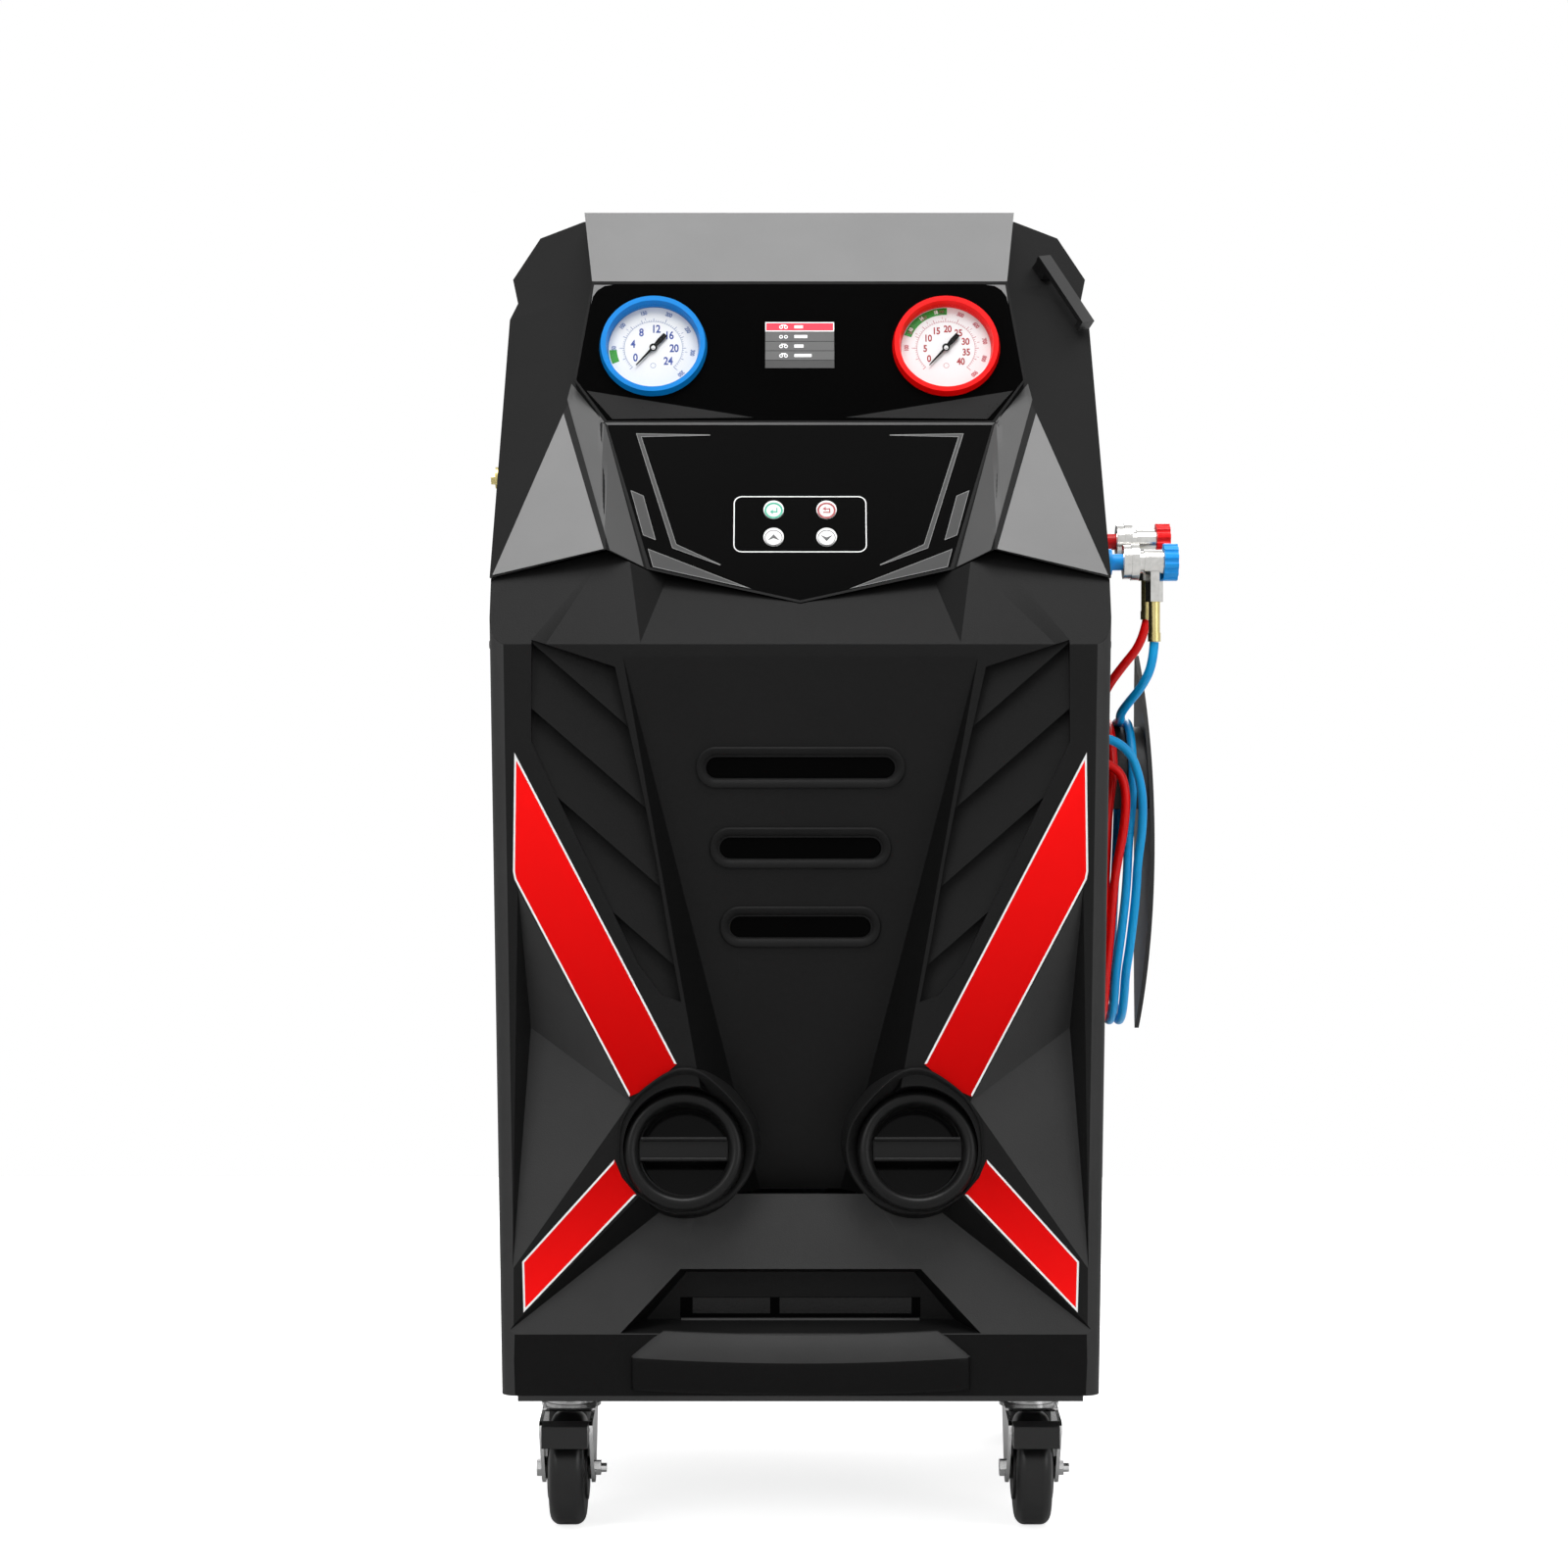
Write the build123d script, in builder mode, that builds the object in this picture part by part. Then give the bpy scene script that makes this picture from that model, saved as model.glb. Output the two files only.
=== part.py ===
"""Refrigerant recovery machine: a wheeled cabinet with gauges, keypad, sight windows and service hoses."""
from build123d import *
import os
from math import atan, cos, radians, sin, tan

os.makedirs("parts", exist_ok=True)

# Cabinet, in millimetres: X across, Y to the back, Z up, floor at zero, symmetry plane at X = 0
front_y = -285.0
cabinet_depth = 500.0
deck_z = 1212.0
half_top = 277.0
half_bottom = 263.0
skirt_z = 127.0
parting_z = 848.0
shell_wall = 4.5
sheet = 2.0
seat_gap = 0.3
face_gap = 0.5
back_y = front_y + cabinet_depth

# Line where the hood meets the front cover, as (x, z) from the outer corner to the middle
parting_corner = (half_top, parting_z)
parting_peak = (174.0, 873.5)
parting_inner = (138.0, 857.0)
parting_middle = (0.0, 826.0)

# Front cover
cover_depth = 112.0
bumper_z = 157.5
crest_z = 777.0
crest_depth = 20.0
waist_z = 400.0
waist_depth = 60.0
crease_z = 178.0
louvre_depth = 13.0
slat_pitch = 44.0
slat_rise = 9.0
corner_radius = 14.0

# Hood
hood_half = half_top + 1.0
band_half = 206.0
band_foot_half = 194.0
band_foot_z = 1134.0
gauge_foot_z = 997.0
gauge_wide_half = 209.0
gauge_wide_z = 1038.0
keypad_top_half = 180.0

# Gauges, screen and keys
gauge_x = 136.0
gauge_z = 1070.0
bezel_radius = 50.0
bezel_height = 8.0
dial_radius = 42.0
cup_radius = 45.0
cup_depth = 32.0
panel_thickness = 3.0
screen_width = 64.0
screen_height = 47.0
screen_z = 1072.0
key_radius = 9.2
key_pitch_x = 48.0
key_pitch_z = 28.4
key_middle_z = 900.0
key_proud = 1.6

# Sight windows in the front cover
window_x = 102.0
window_z = 336.0
window_depth = 34.0
window_tilt = 14.0
window_radius = 38.0
cowl_height = 9.0
window_ring_radius = 54.0
window_bore = 44.0
guard_bar_height = 14.0

# Casters, rear wheels and base
caster_x = 207.6
caster_swivel_y = front_y + 97.0
caster_trail = 30.0
caster_radius = 50.0
caster_tread = 31.6
rear_wheel_radius = 100.0
rear_wheel_width = 42.0
rear_wheel_x = 231.0
rear_wheel_y = 150.0
axle_radius = 8.0
running_fit = 0.05
base_z = 118.0
base_plate = 3.0
well_half = 202.0
well_front_y = rear_wheel_y - rear_wheel_radius - 12.0
well_top_z = 2 * rear_wheel_radius + 14.0
shelf_z = 500.0
post_size = 20.0

# Hose side
hanger_y = -75.0
saddle_radius = 62.0
saddle_top_z = 718.0
hanger_reach = 327.0
hanger_tip_reach = 320.0
hanger_plate = 4.0
leaf_top_z = 785.0
leaf_bottom_z = 434.0
hose_diameter = 8.4
loop_bottom_z = 436.0
blue_coupler = (front_y + 92.0, 865.0)
red_coupler = (front_y + 152.0, 888.0)
post_radius = 7.5
coupler_foot_x = hood_half + 14.0

# Rear side
fan_z = 640.0
fan_radius = 96.0
handle_tube = 12.5
handle_reach = back_y + 70.0
handle_half = 185.0
handle_z = 1060.0
inlet_x = -120.0
inlet_z = 300.0
switch_x = -60.0

# The whole machine is moved so that its footprint is centred on the origin
side_fitting_reach = hood_half + 7.0
cabinet_x = (side_fitting_reach - hanger_reach) / 2


def face(x, depth, z, across, up):
    """A facet seen from the front: its depth grows by across along X and by up along Z."""
    return Plane(origin=(x, front_y + depth, z), z_dir=(across, -1, up))


def facet(first, second, third):
    """A facet through three points, each given as (x, depth, z), looking forwards."""
    corners = [Vector(x, front_y + depth, z) for x, depth, z in (first, second, third)]
    normal = (corners[1] - corners[0]).cross(corners[2] - corners[0])
    return Plane(origin=corners[0], z_dir=normal if normal.Y < 0 else -normal)


def mirrored(plane):
    """The same facet on the other side of the cabinet."""
    origin, normal = plane.origin, plane.z_dir
    return Plane(origin=(-origin.X, origin.Y, origin.Z), z_dir=(-normal.X, normal.Y, normal.Z))


def both_sides(plane):
    return [plane, mirrored(plane)]


def bounded(low, high, planes, keep):
    """A block between two corners, cut by planes."""
    with BuildPart() as block:
        with Locations(tuple((a + b) / 2 for a, b in zip(low, high))):
            Box(*[b - a for a, b in zip(low, high)])
        for plane in planes:
            split(bisect_by=plane, keep=keep)
    return block.part


def half_width(z):
    return half_bottom + (half_top - half_bottom) * (z - skirt_z) / (parting_z - skirt_z)


def tilted(x, depth, z, up):
    """A drawing plane on a facet that leans back, its own Y running up the facet."""
    return Plane(origin=(x, front_y + depth, z), x_dir=(1, 0, 0), z_dir=(0, -1, up))


def mirror_points(points):
    return points + [(-x, z) for x, z in reversed(points) if x != 0]


side_start_y = front_y + cover_depth + face_gap

# Facets of the hood: keypad, gauges and band in the middle, rails, wings and flanks at the side
keypad_rise = 0.4687
gauge_rise = 0.314
keypad_depth = 60.0
keypad_face = face(0, keypad_depth, parting_middle[1], 0, keypad_rise)
gauge_foot_depth = keypad_depth + keypad_rise * (gauge_foot_z - parting_middle[1])
gauge_face = face(0, gauge_foot_depth, gauge_foot_z, 0, gauge_rise)
band_foot_depth = gauge_foot_depth + gauge_rise * (band_foot_z - gauge_foot_z)
band_rise = 1.0
band_face = face(0, band_foot_depth, band_foot_z, 0, band_rise)
corner_depth = 53.0
wing_face = face(half_top, corner_depth, parting_z, 0.15, 0.662)
flank_face = face(half_top, corner_depth, parting_z, 0.55, 0.81)


def keypad_depth_at(z):
    return keypad_depth + keypad_rise * (z - parting_middle[1])


rail_face = facet((parting_inner[0], keypad_depth_at(parting_inner[1]), parting_inner[1]),
                  (keypad_top_half, keypad_depth_at(gauge_foot_z), gauge_foot_z),
                  (parting_peak[0], 54.5, parting_peak[1]))


def box_block(inset, spread, faces=()):
    """The block of gauges and band run through the hood, spread sideways and cut at its faces."""
    outline = [(band_half, deck_z), (band_foot_half, band_foot_z), (gauge_wide_half, gauge_wide_z),
               (keypad_top_half, gauge_foot_z)]
    with BuildPart() as box:
        with BuildSketch(Plane.XZ.offset(-back_y + inset)):
            Polygon(*mirror_points(outline), align=None)
            if spread:
                offset(amount=spread, kind=Kind.INTERSECTION)
        extrude(amount=cabinet_depth)
        for plane in faces:
            split(bisect_by=plane.offset(-inset), keep=Keep.BOTTOM)
    return box.part


def hood_form(inset):
    """The hood's outer shape, or with an inset the space inside its wall."""
    outline = [(0, deck_z), (hood_half - 68, deck_z), (hood_half - 25, deck_z - 14), (hood_half, deck_z - 58),
               (hood_half - 7, deck_z - 85), (hood_half, deck_z - 102), (hood_half, parting_middle[1] - 60)]
    with BuildPart() as cheeks:
        with BuildSketch(Plane.XZ.offset(-back_y + inset)):
            Polygon(*mirror_points(outline), align=None)
            if inset:
                offset(amount=-inset, kind=Kind.INTERSECTION)
        extrude(amount=cabinet_depth)
        for plane in both_sides(wing_face) + both_sides(flank_face):
            split(bisect_by=plane.offset(-inset), keep=Keep.BOTTOM)
    with BuildPart() as front_of_box:
        add(box_block(inset, inset))
        add(box_block(inset, inset + 1, [gauge_face, band_face]), mode=Mode.SUBTRACT)
    valley = bounded((-hood_half, front_y - 40, parting_middle[1] - 70),
                     (hood_half, back_y, gauge_foot_z + 0.01 - inset),
                     [p.offset(-inset) for p in [keypad_face] + both_sides(rail_face)], Keep.TOP)
    with BuildPart() as form:
        add(cheeks.part)
        add(valley, mode=Mode.SUBTRACT)
        add(front_of_box.part, mode=Mode.SUBTRACT)
        add(box_block(inset, -inset, [gauge_face, band_face]))
    return form.part


def above_parting(gap):
    """Everything above the zigzag line where hood and front cover meet."""
    line = [parting_corner, parting_peak, parting_inner, parting_middle]
    edge = [(half_top + 60, parting_z)] + line
    with BuildPart() as above:
        with BuildSketch(Plane.XZ.offset(-back_y - 20)):
            points = mirror_points([(x, z + gap) for x, z in edge])
            Polygon((-half_top - 60, deck_z + 60), (half_top + 60, deck_z + 60), *points, align=None)
        extrude(amount=cabinet_depth + 80)
        with Locations((0, side_start_y, parting_z + gap)):
            Box(2 * half_top + 120, cabinet_depth, 100, align=(Align.CENTER, Align.MIN, Align.MAX), mode=Mode.SUBTRACT)
            Box(2 * half_top + 120, cabinet_depth, 100, align=(Align.CENTER, Align.MIN, Align.MIN))
    return above.part


# Facets of the front cover
front_rise = crest_depth / (crest_z - bumper_z)
front_face = face(0, 0, bumper_z, 0, front_rise)
front_plane = Plane(origin=front_face.origin, x_dir=(1, 0, 0), z_dir=front_face.z_dir)
shoulder_face = face(0, crest_depth, crest_z + 10, 0, 0.6)
middle_shoulder = face(0, keypad_depth, parting_middle[1], 0, 1.05)
side_face = Plane(origin=(half_top, 0, parting_z),
                  z_dir=(1, 0, -(half_top - half_bottom) / (parting_z - skirt_z)))
upper_field = face(0, crest_depth, crest_z, 0, -(waist_depth - crest_depth) / (crest_z - waist_z))
lower_field = face(0, waist_depth, waist_z, 0, waist_depth / (waist_z - crease_z))


def front_depth(z):
    return front_rise * (z - bumper_z)


ridge_top = (157.0, 776.0)
ridge_foot = (101.5, 470.0)
ridge_wall = facet((ridge_top[0], front_depth(ridge_top[1]), ridge_top[1]),
                   (ridge_foot[0], front_depth(ridge_foot[1]), ridge_foot[1]),
                   (79.6, 52.6, 471.0))
arm_wall = face(144.0, front_depth(299.5), 299.5, -0.731, -0.683)
facet_outer = (252.0, 45.0, 455.5)
facet_apex = (161.0, 6.6, 367.0)
facet_upper = facet((250.0, front_depth(573.0), 573.0), (151.3, front_depth(388.0), 388.0), facet_outer)
facet_lower = facet(facet_apex, (249.0, 2.9, 244.0), facet_outer)
facet_side = Plane(origin=(254.0, front_y, 400.0), z_dir=(-1, -0.35, 0))
vent_depth = 42.0
vent_half = 107.0
vent_low_z = 189.0
vent_high_z = 207.0


def front_pocket(low_z, high_z, planes, inset):
    """Space in front of a group of facets, to take out of the cover."""
    return bounded((-300, front_y - 60, low_z), (300, front_y + cover_depth - 8, high_z),
                   [plane.offset(-inset) for plane in planes], Keep.TOP)


def louvre_outline():
    """Corner points of the louvre field beside the right ridge, as (x, z)."""
    return [(238, 792), (164, 768), (141, 666), (127.5, 598), (116, 530), (105, 472),
            (122, 478), (143, 505), (181, 583), (228, 680), (238, 702)]


def cover_form(inset):
    """The front cover's outer shape with its pockets, or with an inset the space inside its wall."""
    back = front_y + cover_depth + (1 if inset else 0)
    with BuildPart() as form:
        with Locations((0, (front_y + back) / 2, (skirt_z + 900) / 2)):
            Box(600, back - front_y, 900 - skirt_z)
        for plane in both_sides(side_face) + [front_face, shoulder_face, Plane(origin=(0, 0, skirt_z), z_dir=(0, 0, -1))]:
            split(bisect_by=plane.offset(-inset), keep=Keep.BOTTOM)
        uprights = form.edges().filter_by(lambda e: abs(e.center().X) > 240 and e.length > 400)
        fillet(uprights.group_by(Axis.Y)[0], corner_radius - inset)
    pockets = [
        front_pocket(300, crest_z + 20, [upper_field] + both_sides(ridge_wall), inset),
        front_pocket(crease_z - 6, 420, [lower_field] + both_sides(arm_wall), inset),
        front_pocket(crest_z + 5, 880, [middle_shoulder] + both_sides(rail_face), inset),
    ]
    for flip in (False, True):
        planes = [facet_upper, facet_lower, facet_side]
        planes = [mirrored(plane) for plane in planes] if flip else planes
        low_x, high_x = (-300, -120) if flip else (120, 300)
        pockets.append(bounded((low_x, front_y - 60, 200), (high_x, back - 8, 640),
                               [plane.offset(-inset) for plane in planes], Keep.TOP))
    recess = [face(0, vent_depth, 200, 0, 0), Plane(origin=(0, front_y + 16, 236), z_dir=(0, -0.25, -1)),
              Plane(origin=(0, front_y + vent_depth, 187), z_dir=(0, -0.13, 1))]
    recess += both_sides(Plane(origin=(106, front_y + 16, 236), z_dir=(-0.76, -0.3, -0.65)))
    pockets.append(front_pocket(100, 300, recess, inset))
    with BuildPart() as shaped:
        add(form.part)
        for pocket in pockets:
            add(pocket, mode=Mode.SUBTRACT)
        for side in (1, -1):
            with BuildSketch(front_plane):
                Polygon(*[(side * x, z - bumper_z) for x, z in louvre_outline()], align=None)
                if inset:
                    offset(amount=inset, kind=Kind.INTERSECTION)
            extrude(amount=-louvre_depth - inset, mode=Mode.SUBTRACT)
    return shaped.part


# Louvre slats: each slopes forwards to its lower edge and steps back to the next
with BuildPart() as right_slats:
    along = front_plane.x_dir * 106.0 + front_plane.y_dir * 92.5
    with BuildSketch(Plane(origin=front_plane.from_local_coords((190.0, 532.0, -louvre_depth)),
                           x_dir=front_plane.z_dir, z_dir=along)):
        for step in range(-4, 5):
            low = step * slat_pitch
            Polygon((-2, low), (0, low), (slat_rise, low + slat_pitch), (-2, low + slat_pitch), align=None)
    extrude(amount=320, both=True)
    with BuildSketch(front_plane):
        Polygon(*[(x, z - bumper_z) for x, z in louvre_outline()], align=None)
    extrude(amount=-louvre_depth - 1, mode=Mode.INTERSECT)
with BuildPart() as left_slats:
    add(mirror(right_slats.part, about=Plane.YZ, mode=Mode.PRIVATE))

cover_outside = cover_form(0)
cover_inside = cover_form(shell_wall)
hood_outside = hood_form(0)
hood_inside = hood_form(shell_wall)

slots = [(678.5, 168.0), (607.0, 144.0), (536.5, 126.0)]
slot_height = 19.0
field_plane = Plane(origin=upper_field.origin, x_dir=(1, 0, 0), z_dir=upper_field.z_dir)


def slot_sketches(slack):
    """The three slot outlines on the middle field."""
    for z, width in slots:
        with Locations((0, (z - crest_z) / field_plane.y_dir.Z)):
            SlotOverall(width - 2 * slack, slot_height - 2 * slack)


def window_plane(side):
    lean = radians(window_tilt)
    return Plane(origin=(side * window_x, front_y + window_depth, window_z), x_dir=(1, 0, 0),
                 z_dir=(0, -cos(lean), sin(lean)))


def cowl_outline(side):
    """Round cowl drawn out to a peak above the window."""
    Circle(window_ring_radius + 3)
    with Locations((side * 8, 76)):
        Circle(7)
    make_hull()


# Front cover: one deep moulding with louvres, three slots, two window cowls and the intake vent
with BuildPart() as front_cover:
    add(cover_outside)
    for side in (1, -1):
        with BuildSketch(window_plane(side)):
            cowl_outline(side)
        extrude(amount=cowl_height, taper=10)
        with BuildSketch(window_plane(side)):
            cowl_outline(side)
        extrude(amount=-40)
    add(cover_inside, mode=Mode.SUBTRACT)
    add(left_slats.part)
    add(right_slats.part)
    add(above_parting(-face_gap), mode=Mode.SUBTRACT)
    for side in (1, -1):
        with BuildSketch(window_plane(side)):
            Circle(window_bore)
        extrude(amount=60, both=True, mode=Mode.SUBTRACT)
        with BuildSketch(window_plane(side).offset(cowl_height)):
            Circle(window_ring_radius + seat_gap)
        extrude(amount=40, mode=Mode.SUBTRACT)
    with BuildSketch(field_plane):
        slot_sketches(0)
    extrude(amount=20, both=True, mode=Mode.SUBTRACT)
    with BuildSketch(Plane.XZ.offset(-front_y - vent_depth)):
        with Locations((0, (vent_low_z + vent_high_z) / 2)):
            Rectangle(2 * vent_half, vent_high_z - vent_low_z)
    extrude(amount=20, both=True, mode=Mode.SUBTRACT)

# Gloss strips in the slots, held between the slot's walls
with BuildPart() as slot_inserts:
    with BuildSketch(field_plane.offset(-1.5)):
        slot_sketches(seat_gap)
    extrude(amount=-3)

# Intake grille: a flat plate with upright ribs behind the vent
grille_cells = 8
grille_pitch = 2 * vent_half / grille_cells
with BuildPart() as intake_grille:
    with BuildSketch(Plane.XZ.offset(-front_y - vent_depth - shell_wall)):
        with Locations((0, (vent_low_z + vent_high_z) / 2)):
            Rectangle(2 * vent_half + 10, vent_high_z - vent_low_z + 10)
            with GridLocations(grille_pitch, 0, grille_cells, 1):
                Rectangle(grille_pitch - 4, vent_high_z - vent_low_z - 2, mode=Mode.SUBTRACT)
    extrude(amount=-3)

# Sight windows: ring with a guard bar and a spigot in the cowl, lens behind, oil bottle inside
with BuildPart() as window_bezels:
    for side in (1, -1):
        seat = window_plane(side).offset(cowl_height)
        with BuildSketch(seat):
            Circle(window_ring_radius)
            Circle(window_radius, mode=Mode.SUBTRACT)
        extrude(amount=12, taper=8)
        with BuildSketch(seat):
            Circle(window_bore - seat_gap)
            Circle(window_radius, mode=Mode.SUBTRACT)
        extrude(amount=-15)
        with BuildSketch(seat.offset(1)):
            Rectangle(2 * window_radius + 4, guard_bar_height)
        extrude(amount=8, taper=15)
with BuildPart() as window_lenses:
    for side in (1, -1):
        with BuildSketch(window_plane(side).offset(cowl_height - 15 - seat_gap)):
            Circle(window_bore - seat_gap)
        extrude(amount=-3)
bottle_radius = 34.0
bottle_y = front_y + window_depth + 23 + bottle_radius
bottle_foot_z = 265.0
bottle_height = 112.0
with BuildPart() as oil_bottles:
    for side in (1, -1):
        with Locations((side * window_x, bottle_y, bottle_foot_z + bottle_height / 2)):
            Cylinder(bottle_radius, bottle_height)
        with Locations((side * window_x, bottle_y, bottle_foot_z + bottle_height + 8)):
            Cylinder(bottle_radius - 12, 16)

# Hood: one moulding with wings, rails and flanks around the two recessed panels
gauge_lean = atan(gauge_rise)
keypad_lean = atan(keypad_rise)
gauge_plane = tilted(0, gauge_foot_depth, gauge_foot_z, gauge_rise)
keypad_plane = tilted(0, keypad_depth, parting_middle[1], keypad_rise)
gauge_up = (gauge_z - gauge_foot_z) / cos(gauge_lean)
screen_up = (screen_z - gauge_foot_z) / cos(gauge_lean)
keys_up = (key_middle_z - parting_middle[1]) / cos(keypad_lean)
key_places = {"start": (-1, 1), "back": (1, 1), "up": (-1, -1), "down": (1, -1)}


def gauge_outline(slack):
    points = [(keypad_top_half - 2.5, gauge_foot_z + 2), (gauge_wide_half - 2.5, gauge_wide_z),
              (band_foot_half - 2, band_foot_z - 3)]
    Polygon(*mirror_points([(x, (z - gauge_foot_z) / cos(gauge_lean)) for x, z in points]), align=None)
    if slack:
        offset(amount=slack, kind=Kind.INTERSECTION)


def keypad_outline(slack):
    points = [(0, parting_middle[1] + 3), (parting_inner[0] - 3, parting_inner[1] + 2.5),
              (keypad_top_half - 3, gauge_foot_z - 2.5)]
    flat = [(x, (z - parting_middle[1]) / cos(keypad_lean)) for x, z in points]
    Polygon(*flat, *[(-x, v) for x, v in reversed(flat[1:])], align=None)
    if slack:
        offset(amount=slack, kind=Kind.INTERSECTION)


def key_point(key):
    across, up = key_places[key]
    return (across * key_pitch_x / 2, keys_up + up * key_pitch_z / 2)


with BuildPart() as hood:
    add(hood_outside)
    add(hood_inside, mode=Mode.SUBTRACT)
    add(above_parting(face_gap), mode=Mode.INTERSECT)
    with BuildSketch(gauge_plane):
        gauge_outline(seat_gap)
    extrude(amount=-panel_thickness, mode=Mode.SUBTRACT)
    with BuildSketch(keypad_plane):
        keypad_outline(seat_gap)
    extrude(amount=-panel_thickness, mode=Mode.SUBTRACT)
    with BuildSketch(gauge_plane):
        with Locations((-gauge_x, gauge_up), (gauge_x, gauge_up)):
            Circle(cup_radius + seat_gap)
        with Locations((0, screen_up)):
            Rectangle(screen_width + 2 * seat_gap, screen_height + 2 * seat_gap)
    extrude(amount=-20, mode=Mode.SUBTRACT)
    with BuildSketch(keypad_plane):
        with Locations(*[key_point(key) for key in key_places]):
            Circle(key_radius + seat_gap)
    extrude(amount=-12, mode=Mode.SUBTRACT)

with BuildPart() as gauge_panel:
    with BuildSketch(gauge_plane):
        gauge_outline(0)
        with Locations((-gauge_x, gauge_up), (gauge_x, gauge_up)):
            Circle(cup_radius + seat_gap, mode=Mode.SUBTRACT)
        with Locations((0, screen_up)):
            Rectangle(screen_width + 2 * seat_gap, screen_height + 2 * seat_gap, mode=Mode.SUBTRACT)
    extrude(amount=-panel_thickness)
with BuildPart() as keypad_panel:
    with BuildSketch(keypad_plane):
        keypad_outline(0)
        with Locations(*[key_point(key) for key in key_places]):
            Circle(key_radius + seat_gap, mode=Mode.SUBTRACT)
    extrude(amount=-panel_thickness)
with BuildPart() as display_screen:
    with BuildSketch(gauge_plane.offset(0.4)):
        with Locations((0, screen_up)):
            Rectangle(screen_width, screen_height)
    extrude(amount=-panel_thickness - 3)


def gauge_case(side):
    """Bezel ring in front of the panel and the closed cup behind it."""
    with BuildPart() as case:
        with BuildSketch(gauge_plane):
            with Locations((side * gauge_x, gauge_up)):
                Circle(bezel_radius)
                Circle(dial_radius, mode=Mode.SUBTRACT)
        extrude(amount=bezel_height, taper=12)
        with BuildSketch(gauge_plane):
            with Locations((side * gauge_x, gauge_up)):
                Circle(cup_radius)
                Circle(dial_radius, mode=Mode.SUBTRACT)
        extrude(amount=-cup_depth)
        with BuildSketch(gauge_plane.offset(-cup_depth)):
            with Locations((side * gauge_x, gauge_up)):
                Circle(cup_radius)
        extrude(amount=-3)
    return case.part


low_gauge_bezel = gauge_case(-1)
high_gauge_bezel = gauge_case(1)
dial_level = -3.0
pointer_level = -1.4
spindle_radius = 1.5
with BuildPart() as gauge_dials:
    for side in (-1, 1):
        with BuildSketch(gauge_plane.offset(dial_level)):
            with Locations((side * gauge_x, gauge_up)):
                Circle(dial_radius - seat_gap)
        extrude(amount=-1)
        with BuildSketch(gauge_plane.offset(dial_level)):
            with Locations((side * gauge_x, gauge_up)):
                Circle(spindle_radius)
        extrude(amount=pointer_level - dial_level + 1.2)
with BuildPart() as gauge_lenses:
    for side in (-1, 1):
        with BuildSketch(gauge_plane.offset(3)):
            with Locations((side * gauge_x, gauge_up)):
                Circle(dial_radius - seat_gap)
        extrude(amount=2)


def pointer(side):
    """Needle with its thin tip at the low end of the scale and a broad tail."""
    with BuildPart() as needle:
        with BuildSketch(gauge_plane.offset(pointer_level)):
            with Locations((side * gauge_x, gauge_up)):
                with Locations(Rotation(0, 0, -41)):
                    Polygon((-0.4, -24), (0.4, -24), (1.2, 0), (-1.2, 0), align=None)
                    Polygon((-1.2, 0), (1.2, 0), (2.4, 9), (2.2, 17), (-2.2, 17), (-2.4, 9), align=None)
                Circle(3.6)
                Circle(spindle_radius + running_fit, mode=Mode.SUBTRACT)
        extrude(amount=1.2)
    return needle.part


def key(name):
    """One round key in its hole in the panel."""
    with BuildPart() as button:
        with BuildSketch(keypad_plane.offset(key_proud)):
            with Locations(key_point(name)):
                Circle(key_radius)
        extrude(amount=-panel_thickness - key_proud - 0.5)
    return button.part


# Control board behind the keys, on four pegs against the hood's wall
with BuildPart() as control_board:
    with BuildSketch(keypad_plane.offset(-shell_wall - 4)):
        with Locations((0, keys_up)):
            Rectangle(180, 84)
    extrude(amount=-1.6)
    with BuildSketch(keypad_plane.offset(-shell_wall)):
        with Locations((0, keys_up)):
            with GridLocations(160, 68, 2, 2):
                Circle(4)
    extrude(amount=-4)
    with BuildSketch(keypad_plane.offset(-shell_wall - 4)):
        with Locations(*[key_point(name) for name in key_places]):
            Rectangle(6, 6)
    extrude(amount=3.6)

# Side panels: folded sheet between the front cover and the rear panel, arched over the rear wheels
vent_rows = 7
with BuildPart() as right_side_panel:
    low_z, high_z = skirt_z + 1, parting_z
    with BuildSketch(Plane.XZ.offset(-back_y)):
        Polygon((half_width(low_z) - sheet, low_z), (half_width(low_z), low_z), (half_width(high_z), high_z),
                (half_width(high_z) - sheet, high_z), align=None)
    extrude(amount=back_y - side_start_y)
    with BuildSketch(Plane.YZ.offset(200)):
        with Locations((rear_wheel_y, rear_wheel_radius)):
            Circle(rear_wheel_radius + 12)
        with Locations((120, 760)):
            with GridLocations(0, 14, 1, vent_rows):
                SlotOverall(90, 3.6)
    extrude(amount=100, mode=Mode.SUBTRACT)
with BuildPart() as left_side_panel:
    add(mirror(right_side_panel.part, about=Plane.YZ, mode=Mode.PRIVATE))

# Cap screws along both flanges of the front cover
screw_heights = (194.0, 355.0, 543.5, 789.5)
with BuildPart() as side_screws:
    for side in (1, -1):
        for z in screw_heights:
            plane = Plane(origin=(side * half_width(z), front_y + 74, z),
                          z_dir=(side, 0, -(half_top - half_bottom) / (parting_z - skirt_z)))
            with BuildSketch(plane):
                Circle(5)
            extrude(amount=4, taper=20)

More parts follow.
